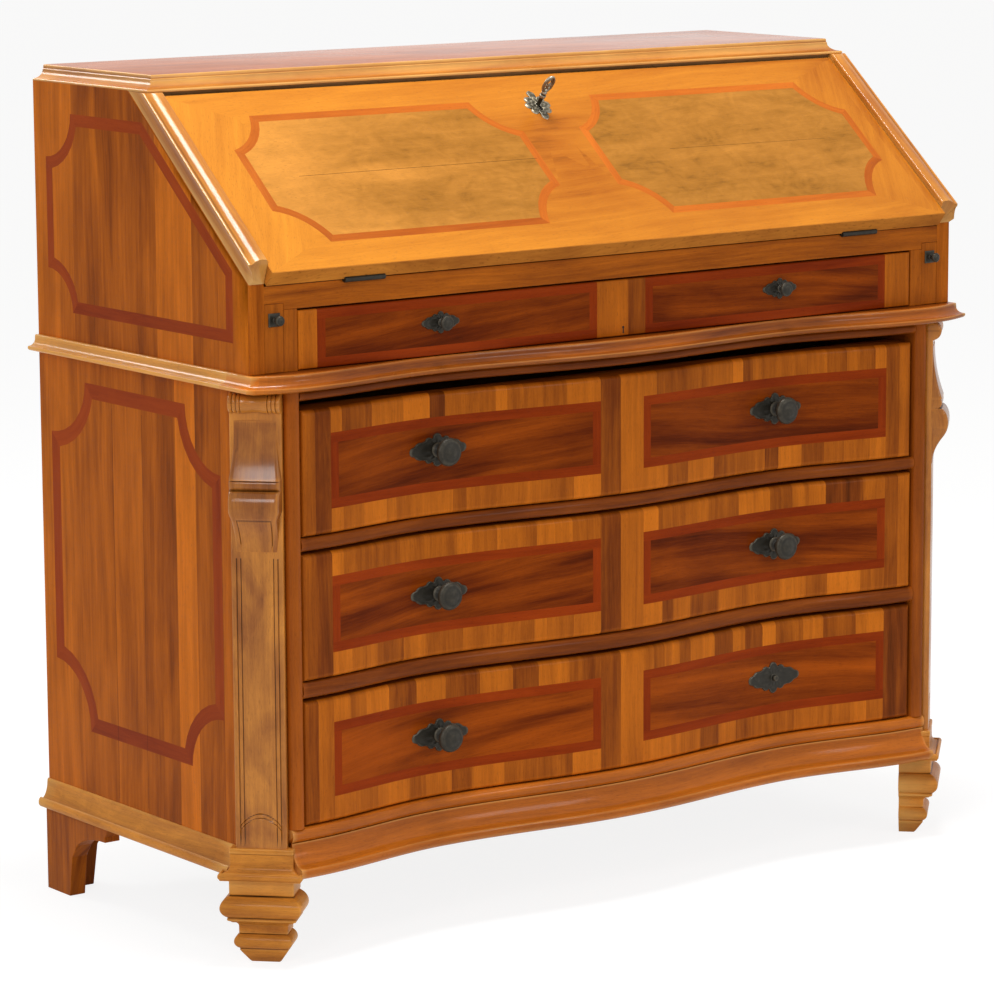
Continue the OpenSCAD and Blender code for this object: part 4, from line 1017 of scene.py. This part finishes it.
def hollow_frame(left, right, low, high, hollow, bulge=0.0):
    """Closed outline of a panel whose corners are cut by arcs that bulge into it, anticlockwise from the
    lower left, and the run of each of its edges.

    hollow holds each corner's two radii; at bulge 0 an arc is a quarter ellipse round the corner, and at
    bulge 1 it is the straight line between its ends.
    """
    corners = ((left, low, 90, 0), (right, low, 180, 90), (right, high, 270, 180), (left, high, 360, 270))
    points, runs, steps = [], [], 8
    for number, ((cx, cy, start, end), (rx, ry)) in enumerate(zip(corners, hollow)):
        if rx:
            curve = arc(cx, cy, rx, ry, start, end, steps)
            t = np.linspace(0, 1, steps + 1)[:, None]
            points.append(curve * (1 - bulge) + (curve[0] * (1 - t) + curve[-1] * t) * bulge)
            runs += [2 * number] * steps + [2 * number + 1]
        else:
            points.append([[cx, cy]])
            runs += [2 * number + 1]
    return np.concatenate(points), np.array(runs)


def inset(loop, width):
    """Loop moved inwards: each point by (n1 + n2) width / (1 + n1 . n2), with the normals of its edges."""
    along = np.roll(loop, -1, axis=0) - loop
    along /= np.linalg.norm(along, axis=1, keepdims=True)
    normal = joined(-along[:, 1], along[:, 0])
    before = np.roll(normal, 1, axis=0)
    return loop + width * (normal + before) / (1 + np.sum(normal * before, axis=1, keepdims=True))


def within(points, loop):
    """Which points lie inside a closed loop, by the number of its edges to their right."""
    a, b = loop, np.roll(loop, -1, axis=0)
    x, y = points[:, 0, None], points[:, 1, None]
    spans = (a[:, 1] > y) != (b[:, 1] > y)
    with np.errstate(divide="ignore", invalid="ignore"):
        cut = a[:, 0] + (y - a[:, 1]) * (b[:, 0] - a[:, 0]) / (b[:, 1] - a[:, 1])
    return (spans & (x < cut)).sum(axis=1) % 2 == 1


def marquetry(skin, outline, frames, width, joints, cracks, spacing, place, thickness, ground,
              field=None):
    """Sheet of veneer on a board with a convex outline, cut along its bands, joints and cracks.

    The cuts are the constraints of one triangulation, and each triangle takes its wood from the region that
    holds its middle. Along a band U is the distance run along it. ground and field give the angle, shift and
    finish of a triangle from its middle, and the tone of a corner from its place. Without a field the ground
    goes on inside the bands.
    """
    outline = np.asarray(outline, float)
    bands = [(loop, inset(loop, width), runs) for loop, runs in frames]
    cracks = [np.array(crack, float) for crack in cracks]
    loops = [outline, *[loop for band in bands for loop in band[:2]], *cracks]
    low, high = outline.min(axis=0), outline.max(axis=0)
    spots = np.stack(np.meshgrid(np.arange(low[0] + spacing, high[0], spacing),
                                 np.arange(low[1] + spacing, high[1], spacing)), axis=-1).reshape(-1, 2)
    spots = spots[within(spots, outline)]
    vertices, edges = [], []
    for loop in loops:
        k = np.arange(len(loop))
        edges += (joined(k, (k + 1) % len(loop)) + len(vertices)).tolist()
        vertices += loop.tolist()
    for start, end in joints:
        edges.append([len(vertices), len(vertices) + 1])
        vertices += [start, end]
    for outer, inner, runs in bands:
        for corner in np.flatnonzero(runs != np.roll(runs, 1)):
            edges.append([len(vertices), len(vertices) + 1])
            vertices += [outer[corner].tolist(), inner[corner].tolist()]
    vertices += spots.tolist()
    flat, _, triangles, *_ = delaunay_2d_cdt([Vector(v) for v in vertices], edges, [], 0, 1e-4)
    flat, triangles = np.array([tuple(v) for v in flat]), np.array(triangles)
    corners = flat[triangles]
    area = np.cross(corners[:, 1] - corners[:, 0], corners[:, 2] - corners[:, 0])
    triangles, corners = triangles[np.abs(area) > 1e-6], corners[np.abs(area) > 1e-6]
    middle = corners.mean(axis=1)
    angle, shift, finish, tone = ground(middle, corners)
    uv = turned(corners, angle[:, None], shift[:, None])
    for number, (outer, inner, runs) in enumerate(bands):
        if field:
            inside = within(middle, inner)
            angle, shift, inner_finish, inner_tone = field(middle, corners, number)
            uv = np.where(inside[:, None, None], turned(corners, angle[:, None], shift[:, None]), uv)
            finish = np.where(inside, inner_finish, finish)
            tone = np.where(inside[:, None], inner_tone, tone)
        after, after_in = np.roll(outer, -1, axis=0), np.roll(inner, -1, axis=0)
        length = np.linalg.norm(after - outer, axis=1)
        along = (after - outer) / length[:, None]
        begin = np.cumsum(length) - length
        shades = np.random.default_rng(number + 5).normal(-0.05, 0.16, runs.max() + 1)
        for k in range(len(outer)):
            here = within(middle, np.array([outer[k], after[k], after_in[k], inner[k]]))
            away = corners[here] - outer[k]
            across = away @ np.array([-along[k, 1], along[k, 0]]) + 60.0 * runs[k]
            uv[here] = joined(away @ along[k] + begin[k], across)
            finish = np.where(here, 1, finish)
            tone[here] = shades[runs[k]]
    for crack in cracks:
        tone[within(middle, crack)] = -1.7
    after = np.roll(outline, -1, axis=0)
    side = (after - outline) / np.linalg.norm(after - outline, axis=1, keepdims=True)
    away = flat[:, None] - outline[None]
    off = np.abs(away[..., 0] * side[:, 1] - away[..., 1] * side[:, 0]).min(axis=1)
    rim = np.flatnonzero(off < 1e-3)
    centre = outline.mean(axis=0)
    rim = rim[np.argsort(np.arctan2(*(flat[rim] - centre).T[::-1]))]
    points = place(flat, thickness)
    depth = place(flat[rim], -MARGIN) - points[rim]
    backed(skin, points, [(triangles, uv, tone, finish)], rim, depth)


def smooth(value, start, end):
    """Smooth step from 0 at start to 1 at end."""
    t = np.clip((value - start) / (end - start), 0, 1)
    return t * t * (3 - 2 * t)


class CABINET_OT_fall_veneer(Operator):
    """Veneer of the fall, with its two banded panels"""

    bl_idname = "cabinet.fall_veneer"
    bl_label = "Fall veneer"

    def execute(self, context):
        c, s = math.cos(SLANT), math.sin(SLANT)
        high = span("fall_panel")[1]
        top = (high[2] - HINGE[2] - FALL_OUT * c) / s
        edge, u0, u1 = high[0] - MARGIN, 1.4, top - MARGIN
        foot, head = 42, 259
        hollow = ((53, 57), (53, 63), (53, 57), (50, 56))
        frames = [hollow_frame(*ends, foot, head, hollow, 0.35) for ends in ((-476, -45), (43, 489))]
        joints = [((-edge, u0), (-423, foot)), ((-edge, u1), (-426, head)), ((edge, u0), (436, foot)),
                  ((edge, u1), (436, head)), ((edge - 14, u0), (edge - 14, u1))]
        cracks = [[(-410, 152.2), (-52, 153.4), (-52, 154.2), (-410, 152.9)],
                  [(160, 153.2), (420, 152.0), (420, 152.6), (160, 153.9)]]
        skin = Skin()
        marquetry(skin, [(-edge, u0), (edge, u0), (edge, u1), (-edge, u1)], frames,
                  context.scene.cabinet_sizes.band, joints, cracks, 42.0,
                  lambda p, h: on_fall(p[:, 0], p[:, 1], FALL_OUT + h), FALL_SHEET, self.ground, self.field)
        skin.make("fall_panel", "", "fall_ground", "fall_band", "fall_figure", sheet="fall_veneer")
        return {"FINISHED"}

    def ground(self, middle, corners):
        """Grain runs across, except at the ends; the middle and the right end are browner, and the left end
        is
        lighter: painted light falling from the left.
        """
        x, u = middle.T
        ends = (np.abs(x) > 440) & (np.abs(u - 150) < 135 - (528 - np.abs(x)) * 0.3)
        angle = np.where(ends, math.radians(66), 0.05)
        shift = joined(np.where(ends, 900.0, 0.0), np.where(u > 150, 330.0, 0.0))
        x, u = corners[..., 0], corners[..., 1]
        tone = 0.05 - 0.6 * np.exp(-(x / 80) ** 2) * smooth(u, 40, 80) * (1 - smooth(u, 215, 262))
        # Lighter left end: painted light falling from the left
        tone = tone + 0.45 * smooth(-x, 330, 480) - 0.5 * smooth(x, 470, 512) * (1 - smooth(55 - u, 0, 40))
        return angle, shift, np.zeros(len(middle), int), tone

    def field(self, middle, corners, number):
        """Left field runs from honey at its end to brown; the right one is brown all over."""
        x = corners[..., 0]
        tone = np.where(number == 0, 0.75 - 1.0 * smooth(x, -440, -300), -0.36 + 0.15 * smooth(x, 300, 480))
        shift = np.broadcast_to((400.0 * (number + 1), 210.0), (len(middle), 2))
        return np.full(len(middle), 0.04), shift, 2, tone


class CABINET_OT_side_veneers(Operator):
    """Veneers of the sides, above and below the waist, each with a banded panel"""

    bl_idname = "cabinet.side_veneers"
    bl_label = "Side veneers"

    def execute(self, context):
        sizes = context.scene.cabinet_sizes
        slope, shoulder = math.tan(SLANT), 820.0
        drop, rear, top = span("side_left")[0][1] + 2.0, BACK - MARGIN, TOP_Z + 1
        upper = [(drop, SHELF_Z - 8), (rear, SHELF_Z - 8), (rear, top),
                 (drop + (top - shoulder) / slope, top), (drop, shoulder)]
        lower = [(CANT_Y, BASE_Z + 8), (rear, BASE_Z + 8), (rear, WAIST_Z + 8), (CANT_Y, WAIST_Z + 8)]
        loop, runs = hollow_frame(34, 452, 749, 995, ((0, 0), (57, 52), (60, 56), (0, 0)))
        loop = np.concatenate([loop[:-1], [[227, 995], [34, 834]]])
        runs = np.concatenate([runs[:-1], [6, 7]])
        below = hollow_frame(66, 453, 223, 665, ((72, 69), (80, 82), (82, 70), (76, 77)))
        joints_up, joints_low = (65, 121, 200, 390), (65, 121, 165, 240, 308, 388)
        cuts_up = [((y, SHELF_Z - 8), (y, min(top, shoulder + (y - drop) * slope))) for y in joints_up]
        cuts_low = [((y, BASE_Z + 8), (y, WAIST_Z + 8)) for y in joints_low]
        cracks = [[(y, 150), (y + 0.7, 150), (y + 0.7, 640), (y, 640)] for y in (240, 308)]
        for side, name in SIDES:
            place = lambda p, h, side=side: np.insert(p, 0, side * (SIDE_X + h), axis=1)
            skin = Skin()
            marquetry(skin, upper, [(loop, runs)], sizes.side_band * 0.78, cuts_up, [], 45.0, place,
                      SIDE_SHEET, self.leaves(joints_up, (0.1, -0.25, 0.3, -0.3, 0.2)))
            marquetry(skin, lower, [below], sizes.side_band, cuts_low, cracks, 45.0, place, SIDE_SHEET,
                      self.leaves(joints_low, (-0.05, -0.35, 0.45, -0.3, -0.05, -0.15, 0.1)))
            skin.make("side_" + name, "", "side_ground", "side_band", sheet="side_veneer_" + name)
        return {"FINISHED"}

    def leaves(self, joints, tones):
        """Upright leaves of veneer between the joints, each with its own tone."""
        def ground(middle, corners):
            leaf = np.searchsorted(joints, middle[:, 0])
            tone = np.repeat(np.array(tones)[leaf][:, None], 3, axis=1)
            shift = joined(leaf * 277.0, leaf * 91.0)
            return np.full(len(middle), np.pi / 2), shift, np.zeros(len(middle), int), tone
        return ground


# ---- Carved corners and feet ---------------------------------------------------------------------------


class CABINET_OT_pilasters(Operator):
    """Canted corner posts with incised lines, a scrolled bracket and a roll"""

    bl_idname = "cabinet.pilasters"
    bl_label = "Pilasters"

    def execute(self, context):
        groove = context.scene.cabinet_sizes.groove
        for side, name in SIDES:
            skin = Skin()
            self.shaft(skin, side, groove * 1.2)
            self.bracket(skin, side)
            self.roll(skin, side)
            skin.make("pilaster_" + name, "_carved", "carved", smooth=50)
        return {"FINISHED"}

    def shaft(self, skin, side, groove):
        """Face with two incised lines at each side and two segmental arches at the foot.

        The depth of a line is groove times exp(-(d / w)^2), with the distance d from it and its width w.
        """
        half, outer, inner = CANT * HALF_ROOT, 24.8, 19.6
        near = np.array([-2.6, -1.7, -0.9, -0.3, 0.3, 0.9, 1.7, 2.6])
        s = np.concatenate([[-half, -half + 0.5, -half + 1.4, -28.2], near - outer, near - inner,
                            np.linspace(-15, 15, 11), near + inner, near + outer,
                            [28.2, half - 1.4, half - 0.5, half]])
        s = np.unique(np.round(s, 2))
        z = np.unique(np.round(np.concatenate([[BLOCK_Z, BLOCK_Z + 1.5], np.linspace(BLOCK_Z + 6, 166, 4),
                                               np.linspace(167, 197, 46), np.linspace(205, 488, 22),
                                               np.linspace(488, 500, 9), [WAIST_Z]]), 2))
        grid_s, grid_z = np.meshgrid(s, z)
        out = -eased(half - np.abs(grid_s), 1.6)
        low, high = 149.0, 494.0
        for line, width in ((outer, 0.85), (inner, 0.6)):
            depth = groove * np.exp(-((np.abs(grid_s) - line) / width) ** 2)
            out = out - depth * smooth(grid_z, low, low + 1.5) * (1 - smooth(grid_z, high, high + 2))
        for rise, width in ((186.0, 0.9), (181.0, 0.6)):
            arch = rise - 15.0 * (grid_s / outer) ** 2
            depth = groove * np.exp(-((grid_z - arch) / width) ** 2)
            out = out - depth * (np.abs(grid_s) < outer + 0.1)
        out = out + 0.25 * np.sin(grid_z / 23 + grid_s / 9) * smooth(half - np.abs(grid_s), 0, 6)
        face = on_cant(side, grid_s, out + PROUD, grid_z)
        flank = [on_cant(side, s, 0.0, z)[:, None] for s in (half, -half)]
        rear = np.array([[STILE_OUT, FRAME_Y], [IN_X, FRAME_Y], [IN_X, CANT_Y]])
        back = joined(side * rear[:, 0], rear[:, 1], z[:, None])
        loft(skin, np.concatenate([face, flank[0], back, flank[1]], axis=1), tone=-0.1, shift=(0, 400 * side))

    def bracket(self, skin, side):
        """Shield that swells out under the roll and again under a ledge, by its projection at each height."""
        top, scroll, bulge, length = WAIST_Z - 33, 69.5, 20.5, 156.0
        fold, line = top - scroll, 0.74
        t = np.linspace(0, 1, 16)
        fine = np.linspace(0.02, 1, 44)
        profile = np.concatenate([
            joined(12.3 * t * t, top - scroll * t),
            arc(9.3, fold - 5.5, 3, 5.5, 60, -80, 7), [[9.0, fold - 12.5], [9.4, fold - 14.5]],
            arc(9.6, fold - 32, bulge - 9.6, 19.5, 78, -50, 16),
            joined((bulge - 5) * (1 - fine) ** 2, fold - 49 - (length - scroll - 49) * fine)])
        out, z = profile.T
        half = np.interp(z, [top - length, 541, 552, 591, 612, 629, top],
                         [24.6, 27.5, 31.1, 31.1, 27.6, 26, 26])
        near = np.array([-1.8, -1.1, -0.5, 0.0, 0.5, 1.1, 1.8]) / 27
        share = np.concatenate([[-0.985, -0.95, -0.9], near - line, np.linspace(-0.6, 0.6, 9), near + line,
                                [0.9, 0.95, 0.985]])
        edge = np.interp(np.abs(share), [0.88, 0.9, 0.95, 0.985], [1, 1, 0.92, 0.72])
        lines = np.exp(-((np.abs(share) - line) * 27 / 0.9) ** 2) * (1 - smooth(z, 541, 543))[:, None]
        across = np.exp(-((z - 542.5) / 0.9) ** 2)[:, None] * (np.abs(share) < 0.75)
        ring_out = edge * (out[:, None] + 0.35) + 0.5 * (1 - share ** 2)
        ring_out = ring_out - 1.5 * np.maximum(lines, across) + PROUD
        share = np.concatenate([[-1, -1], share, [1, 1]])
        zeros = np.zeros((len(z), 1))
        ring_out = np.concatenate([zeros - 2, zeros, ring_out, zeros, zeros - 2], axis=1)
        rings = on_cant(side, share * half[:, None], ring_out, z[:, None])
        loft(skin, rings, tone=-0.5, shift=(300, 200 * side))

    def roll(self, skin, side):
        """Turned roll across the corner, its radius swelling to two beads at each end."""
        half = CANT * HALF_ROOT
        s = np.linspace(-half, half, 110)
        plain, pitch = 16.1, 5.0
        bead = np.abs(((np.abs(s) - plain) % pitch) / (pitch / 2) - 1)
        beads = 10.0 + 2.3 * np.sqrt(np.maximum(1 - bead ** 2, 0))
        middle = 11.6 - 0.7 * np.cos(s / plain * np.pi)
        radius = np.where(np.abs(s) > plain, beads, middle)
        turn = circle(40)
        rings = on_cant(side, s[:, None], PROUD - 1.3 + radius[:, None] * np.cos(turn),
                        WAIST_Z - 12.3 + radius[:, None] * np.sin(turn))
        loft(skin, rings, tone=0.0, shift=(900, 60 * side))


def cant_ring(side, half, front, back, z, corner):
    """Section of a canted piece by its half width, front and back: a rectangle with two rounded corners."""
    turn = np.radians(np.array([180, 157, 135, 112, 90]))
    s = np.concatenate([[-half], -half + corner + corner * np.cos(turn), np.linspace(-0.5, 0.5, 5) * half,
                        half - corner - corner * np.cos(turn[::-1]), [half]])
    rise = front - corner + corner * np.sin(turn)
    out = np.concatenate([[back], rise, np.full(5, front), rise[::-1], [back]])
    return on_cant(side, s, out, z)


class CABINET_OT_feet(Operator):
    """Canted corner blocks and the square baluster feet under them"""

    bl_idname = "cabinet.feet"
    bl_label = "Corner blocks and feet"

    def execute(self, context):
        for side, name in SIDES:
            self.block(side, "corner_block_" + name)
            self.foot(side, "foot_front_" + name)
        return {"FINISHED"}

    def block(self, side, node):
        """Block whose foot flares out in a quarter circle to a rounded lip on three sides."""
        half, out, flare = 39.0, 7.75 + 0.6 * PROUD, 12.3
        z0 = BLOCK_Z - 0.55 * (BLOCK_Z - BASE_Z)
        rise = np.concatenate([
            at(0, BLOCK_Z, (-2.2, 0), (-0.9, -0.3), (-0.2, -1), (0, -2.2), (0, -6), (-0.5, -6.6), (-0.5, -8)),
            arc(flare - 3.2, z0, 2.7 - flare, 9.4, 0, -80, 10),
            arc(flare - 3.6, BASE_Z + 5.2, 3.6, 4.4, 72, -60, 9), [[10.2, BASE_Z]]])
        rings = [cant_ring(side, half + p, out + p, -14.0, z, 1.6) for p, z in rise]
        lofted(node, "_carved", "foot_wood", rings, smooth=40, tone=0.2, crossed=True, shift=(150 * side, 0))

    def foot(self, side, node):
        """Square baluster: torus, step, cove, column and torus over a tapering toe, by its half width."""
        scale = BASE_Z / 106.0
        round_1, round_2 = np.linspace(0.97, -0.97, 15), np.linspace(0.96, -0.96, 11)
        profile = np.concatenate([
            [[39.5, 106], [39.5, 88.5], [38.6, 86.2]],
            joined(40.6 + 8.9 * (1 - round_1 ** 2) ** 0.8, 72 + 13 * round_1),
            [[41.6, 58.4], [42, 57.6], [42, 56.2], [41.2, 55.2], [38.2, 53.8], [37.6, 52.9]],
            arc(37.5, 46, -7.5, 6.6, 84, 0, 8), [[30, 42], [30, 38.4], [29.2, 37.2]],
            joined(29.2 + 6.2 * (1 - round_2 ** 2) ** 0.8, 28 + 9 * round_2),
            [[28.9, 18.6], [29.4, 17.6], [29.2, 16.4], [26.6, 12.4], [22.6, 6.6], [19.2, 1.6], [17.6, 0.0]],
        ]) * scale
        axis, back = 23 * scale, 26 * scale
        rings = [cant_ring(side, half, half - axis, -back, z, 1.8) for half, z in profile]
        lofted(node, "_carved", "foot_wood", rings, smooth=40, tone=0.15, crossed=True,
               shift=(310 * side, 200))


# ---- Metal fittings ------------------------------------------------------------------------------------


def discs_edge(angles, discs):
    """Distance from the middle to the far side of a union of discs, for each angle.

    Along the ray at angle a, the far side of a disc of radius r at (x, y) lies at
    x cos a + y sin a + sqrt(r^2 - (x sin a - y cos a)^2).
    """
    x, y, r = np.asarray(discs, float).T[:, :, None]
    inside = r * r - (x * np.sin(angles) - y * np.cos(angles)) ** 2
    far = x * np.cos(angles) + y * np.sin(angles) + np.sqrt(np.maximum(inside, 0))
    return np.where(inside >= 0, far, 0).max(axis=0)


def plate(skin, place, angles, radii, heights, finishes=0):
    """Worked plate: ring i lies at radii[i] and heights[i] over each angle, and the last ring is its back."""
    radii, heights = np.broadcast_arrays(radii, heights)
    rows, n = radii.shape
    a = np.append(0, (radii * np.cos(angles)).ravel())
    b = np.append(0, (radii * np.sin(angles)).ravel())
    points = place(a, b, np.append(heights[0].mean(), heights.ravel()))
    k = np.arange(n)
    fan = joined(0, 1 + k, 1 + (k + 1) % n)
    quads, i, _ = grid_faces(rows, n, round_columns=True)
    quads = quads[:, [0, 3, 2, 1]] + 1
    under = (1 + (rows - 1) * n + k[::-1])[None]
    flats = joined(a, b)
    finishes = np.broadcast_to(finishes, rows - 1)
    skin.add(points, [(fan, flats[fan], 0.0, finishes[0]), (quads, flats[quads], 0.0, finishes[i[:, 0]]),
                      (under, flats[under], 0.0, finishes[-1])])


def seat(x0, z0, sweep):
    """Place on a front at (x0, z0): across, up, and out of the line that sweep gives."""
    return lambda a, b, out: joined(x0 + a, sweep(x0 + a) - out, z0 + b)


def revolved(skin, place, profile, steps):
    """Profile of radii and heights turned about the axis of its place."""
    turn = circle(steps)
    loft(skin, [place(r * np.cos(turn), r * np.sin(turn), out) for r, out in profile])


def turned_knob(skin, place, r, out):
    """Mushroom knob turned about its own axis: foot, neck with a bead and a domed head."""
    profile = np.concatenate([
        [[0.5, -0.02], [0.54, 0.03], [0.5, 0.08], [0.36, 0.12], [0.28, 0.2], [0.25, 0.34], [0.27, 0.47],
         [0.36, 0.55], [0.5, 0.575]], arc(0.6, 0.76, 0.4, 0.175, -85, 66, 12),
        [[0.7, 0.925], [0.62, 0.93], [0.5, 0.955], [0.34, 0.982], [0.18, 0.996], [0.05, 1.0]]]) * (r, out)
    revolved(skin, place, profile, 36)


class CABINET_OT_pulls(Operator):
    """Pulls of the drawers and of the lopers"""

    bl_idname = "cabinet.pulls"
    bl_label = "Pulls"

    def execute(self, context):
        for name in ("upper", "middle", "lower"):
            node = name + "_drawer_pulls"
            skin = Skin()
            for x in (-268.0, 268.0):
                # The lower drawer has lost its right knob
                whole = name != "lower" or x < 0
                self.pull(skin, x, centre_of(node)[2], 1.0, 1.0, front_y, whole)
            skin.make(node, "_bronze", "patinated_bronze", smooth=40)
        node = "shallow_drawer_knobs"
        face = span("shallow_drawer_front")[0][1]
        skin = Skin()
        for x in (-276.0, 258.0):
            self.pull(skin, x, centre_of(node)[2], 0.66, 0.53, lambda x: face, True)
        skin.make(node, "_bronze", "patinated_bronze", smooth=40)
        for _, name in SIDES:
            self.loper_pull("loper_pull_" + name)
        return {"FINISHED"}

    def pull(self, skin, x0, z0, scale, knob, sweep, whole):
        """Lobed plate with two wings, chased in ridges that follow its outline, and its knob or bare stub."""
        w, h = 42.5 * scale, 20.5 * scale
        discs = [(0, 0, h * 0.8)]
        for i in (-1, 1):
            discs += [(0, i * h * 0.7, h * 0.3), (i * w * 0.42, 0, h * 0.58), (i * w * 0.6, 0, h * 0.54),
                      (i * (w - h * 0.28), 0, h * 0.28), (i * w * 0.76, 0, h * 0.34)]
            discs += [(i * w * 0.3, j * h * 0.5, h * 0.28) for j in (-1, 1)]
        angles = circle(144)
        outline = discs_edge(angles, discs)
        t = np.array([0.1, 0.2, 0.3, 0.38, 0.46, 0.54, 0.6, 0.66, 0.72, 0.78, 0.84, 0.9, 0.96, 1.0, 1.0])
        t = t[:, None]
        height = 1.7 + 0.12 * np.cos(t * 19) + 0.14 * np.cos(angles * 12) * np.sin(np.pi * t)
        height = np.where(t > 0.97, 0.6, np.where(t < 0.35, 2.0, height))
        height[-1] = -0.5
        plate(skin, seat(x0, z0, sweep), angles, t * outline, height)
        foot = float(sweep(x0)) - 2.0
        stand = seat(x0, z0, lambda x: foot)
        if whole:
            turned_knob(skin, stand, 17.5 * knob, 30.0 * knob)
        else:
            stub = ((5.2, -0.5), (5.0, 0.5), (4.0, 1.0), (3.9, 5.0), (3.3, 5.8), (1.5, 6.0))
            revolved(skin, stand, stub, 24)

    def loper_pull(self, node):
        """Small round knob on a square plate."""
        x0, _, z0 = centre_of(node)
        angles = circle(64)
        square = 8.0 / np.maximum(np.abs(np.cos(angles)), np.abs(np.sin(angles)))
        t = np.array([0.2, 0.5, 0.8, 0.9, 1.0, 1.0])[:, None]
        heights = np.array([2.2, 2.0, 1.9, 1.7, 0.9, -0.5])[:, None]
        skin = Skin()
        plate(skin, seat(x0, z0, lambda x: 0.0), angles, t * square, heights)
        turned_knob(skin, seat(x0, z0, lambda x: -1.8), 6.2, 14.0)
        skin.make(node, "_bronze", "patinated_bronze", smooth=40)


class CABINET_OT_lock(Operator):
    """Escutcheon and key of the fall"""

    bl_idname = "cabinet.lock"
    bl_label = "Escutcheon and key"

    def execute(self, context):
        self.escutcheon()
        self.key()
        return {"FINISHED"}

    def place(self, a, b, out):
        """Point over the keyhole: across, up the fall and out of it."""
        return on_fall(KEYHOLE[0] + a, KEYHOLE[1] + b, FALL_OUT + out)

    def escutcheon(self):
        """Rose of eight petals with a crest above and below, its keyhole a shallow recess in painted shade.
        """
        petals = np.arange(8) * np.pi / 4
        discs = [(0, 0, 14)] + [(14 * math.cos(p), 14 * math.sin(p), 5.5) for p in petals]
        discs += [(0, 20, 5.5), (0, -20, 5.5), (0, 24, 2.2), (0, -24, 2.2)]
        angles = circle(192)
        outline = discs_edge(angles, discs)
        hole = discs_edge(angles, [(0, 0, 3.1), (0, -4, 2.0), (0, -7, 1.8), (0, -9, 1.8)])
        t = np.array([0.06, 0.16, 0.3, 0.42, 0.54, 0.66, 0.76, 0.86, 0.94, 1.0, 1.0])[:, None]
        radii = np.concatenate([hole[None] * 0.5, hole[None], hole[None] + 0.2, hole + (outline - hole) * t])
        petal = np.cos(angles * len(petals)) * np.sin(np.pi * np.minimum(t * 1.2, 1))
        height = np.where(t > 0.97, 0.6, 1.7 + 0.45 * petal + 0.35 * np.cos(t * 16))
        height[-1] = -0.5
        inner = np.array([0.5, 0.5, 1.9])[:, None] + 0 * angles
        skin = Skin()
        plate(skin, self.place, angles, radii, np.concatenate([inner, height]), np.array([1, 1] + [0] * 11))
        skin.make("escutcheon", "_silvered", "worn_steel", "dark_hollow", smooth=40)

    def key(self):
        """Shank with collars, a bit, and a bow of one large hoop with smaller ones round it."""
        skin = Skin()
        shank = ((2.2, -16.8), (2.6, -16.3), (2.6, 14.5), (4.2, 15.2), (4.4, 16.5), (4.2, 18), (2.9, 18.8),
                 (2.6, 20), (3.4, 21), (3.8, 22.2), (3.2, 23.6), (2.2, 24.6))
        revolved(skin, self.place, shank, 20)
        bit = np.array([[-1.3, -10], [1.3, -10], [1.3, 0], [-1.3, 0]])
        loft(skin, [self.place(bit[:, 0], bit[:, 1], out) for out in (-16.6, -12.6)])
        hoops = ((0, 36.0, 6.6, 11.8, 1.9), (-3.2, 31.5, 2.2, 3.6, 1.2), (3.2, 31.5, 2.2, 3.6, 1.2),
                 (0, 39.6, 2.9, 4.4, 1.2))
        for x, out, wide, tall, thick in hoops:
            self.hoop(skin, x, out, wide, tall, thick)
        skin.make("key", "_steel", "worn_steel", smooth=50)

    def hoop(self, skin, x, out, wide, tall, thick):
        """Closed oval tube: a circle of radius thick carried round an ellipse in the plane of the shank."""
        around, turn = circle(40)[:, None], circle(12)
        normal = np.stack([np.cos(around) / wide, np.sin(around) / tall])
        normal /= np.linalg.norm(normal, axis=0)
        across = x + wide * np.cos(around) + normal[0] * thick * np.cos(turn)
        rise = out + tall * np.sin(around) + normal[1] * thick * np.cos(turn)
        rows = self.place(across, thick * np.sin(turn), rise)
        quads, i, j = grid_faces(*rows.shape[:2], True, True)
        skin.add(rows.reshape(-1, 3), [(quads, joined(i[:, :1], j[:, :1]) * 1.0, 0.0, 0)])


# ---- Panel and registration ----------------------------------------------------------------------------

STEPS = (
    CABINET_OT_stage,
    CABINET_OT_finishes,
    CABINET_OT_boards,
    CABINET_OT_mouldings,
    CABINET_OT_front_frame,
    CABINET_OT_drawer_fronts,
    CABINET_OT_fall_veneer,
    CABINET_OT_side_veneers,
    CABINET_OT_pilasters,
    CABINET_OT_feet,
    CABINET_OT_pulls,
    CABINET_OT_lock,
)


class CABINET_PT_panel(Panel):
    """Pieces of the cabinet"""

    bl_idname = "CABINET_PT_panel"
    bl_label = "Cabinet"
    bl_space_type = "VIEW_3D"
    bl_region_type = "UI"
    bl_category = "Cabinet"

    def draw(self, context):
        for step in STEPS:
            self.layout.operator(step.bl_idname)


GROUPS = {"cabinet_colours": CabinetColours, "cabinet_sizes": CabinetSizes, "cabinet_stage": CabinetStage}
CLASSES = (*GROUPS.values(), *STEPS, CABINET_PT_panel)


def register():
    """Adds the classes and the scene's groups of properties."""
    for kind in CLASSES:
        bpy.utils.register_class(kind)
    for name, group in GROUPS.items():
        setattr(bpy.types.Scene, name, PointerProperty(type=group))


def unregister():
    """Takes away what register added."""
    for name in GROUPS:
        delattr(bpy.types.Scene, name)
    for kind in reversed(CLASSES):
        bpy.utils.unregister_class(kind)


def main():
    """Makes every piece in order."""
    register()
    for step in STEPS:
        group, name = step.bl_idname.split(".")
        getattr(getattr(bpy.ops, group), name)()


if __name__ == "__main__":
    main()
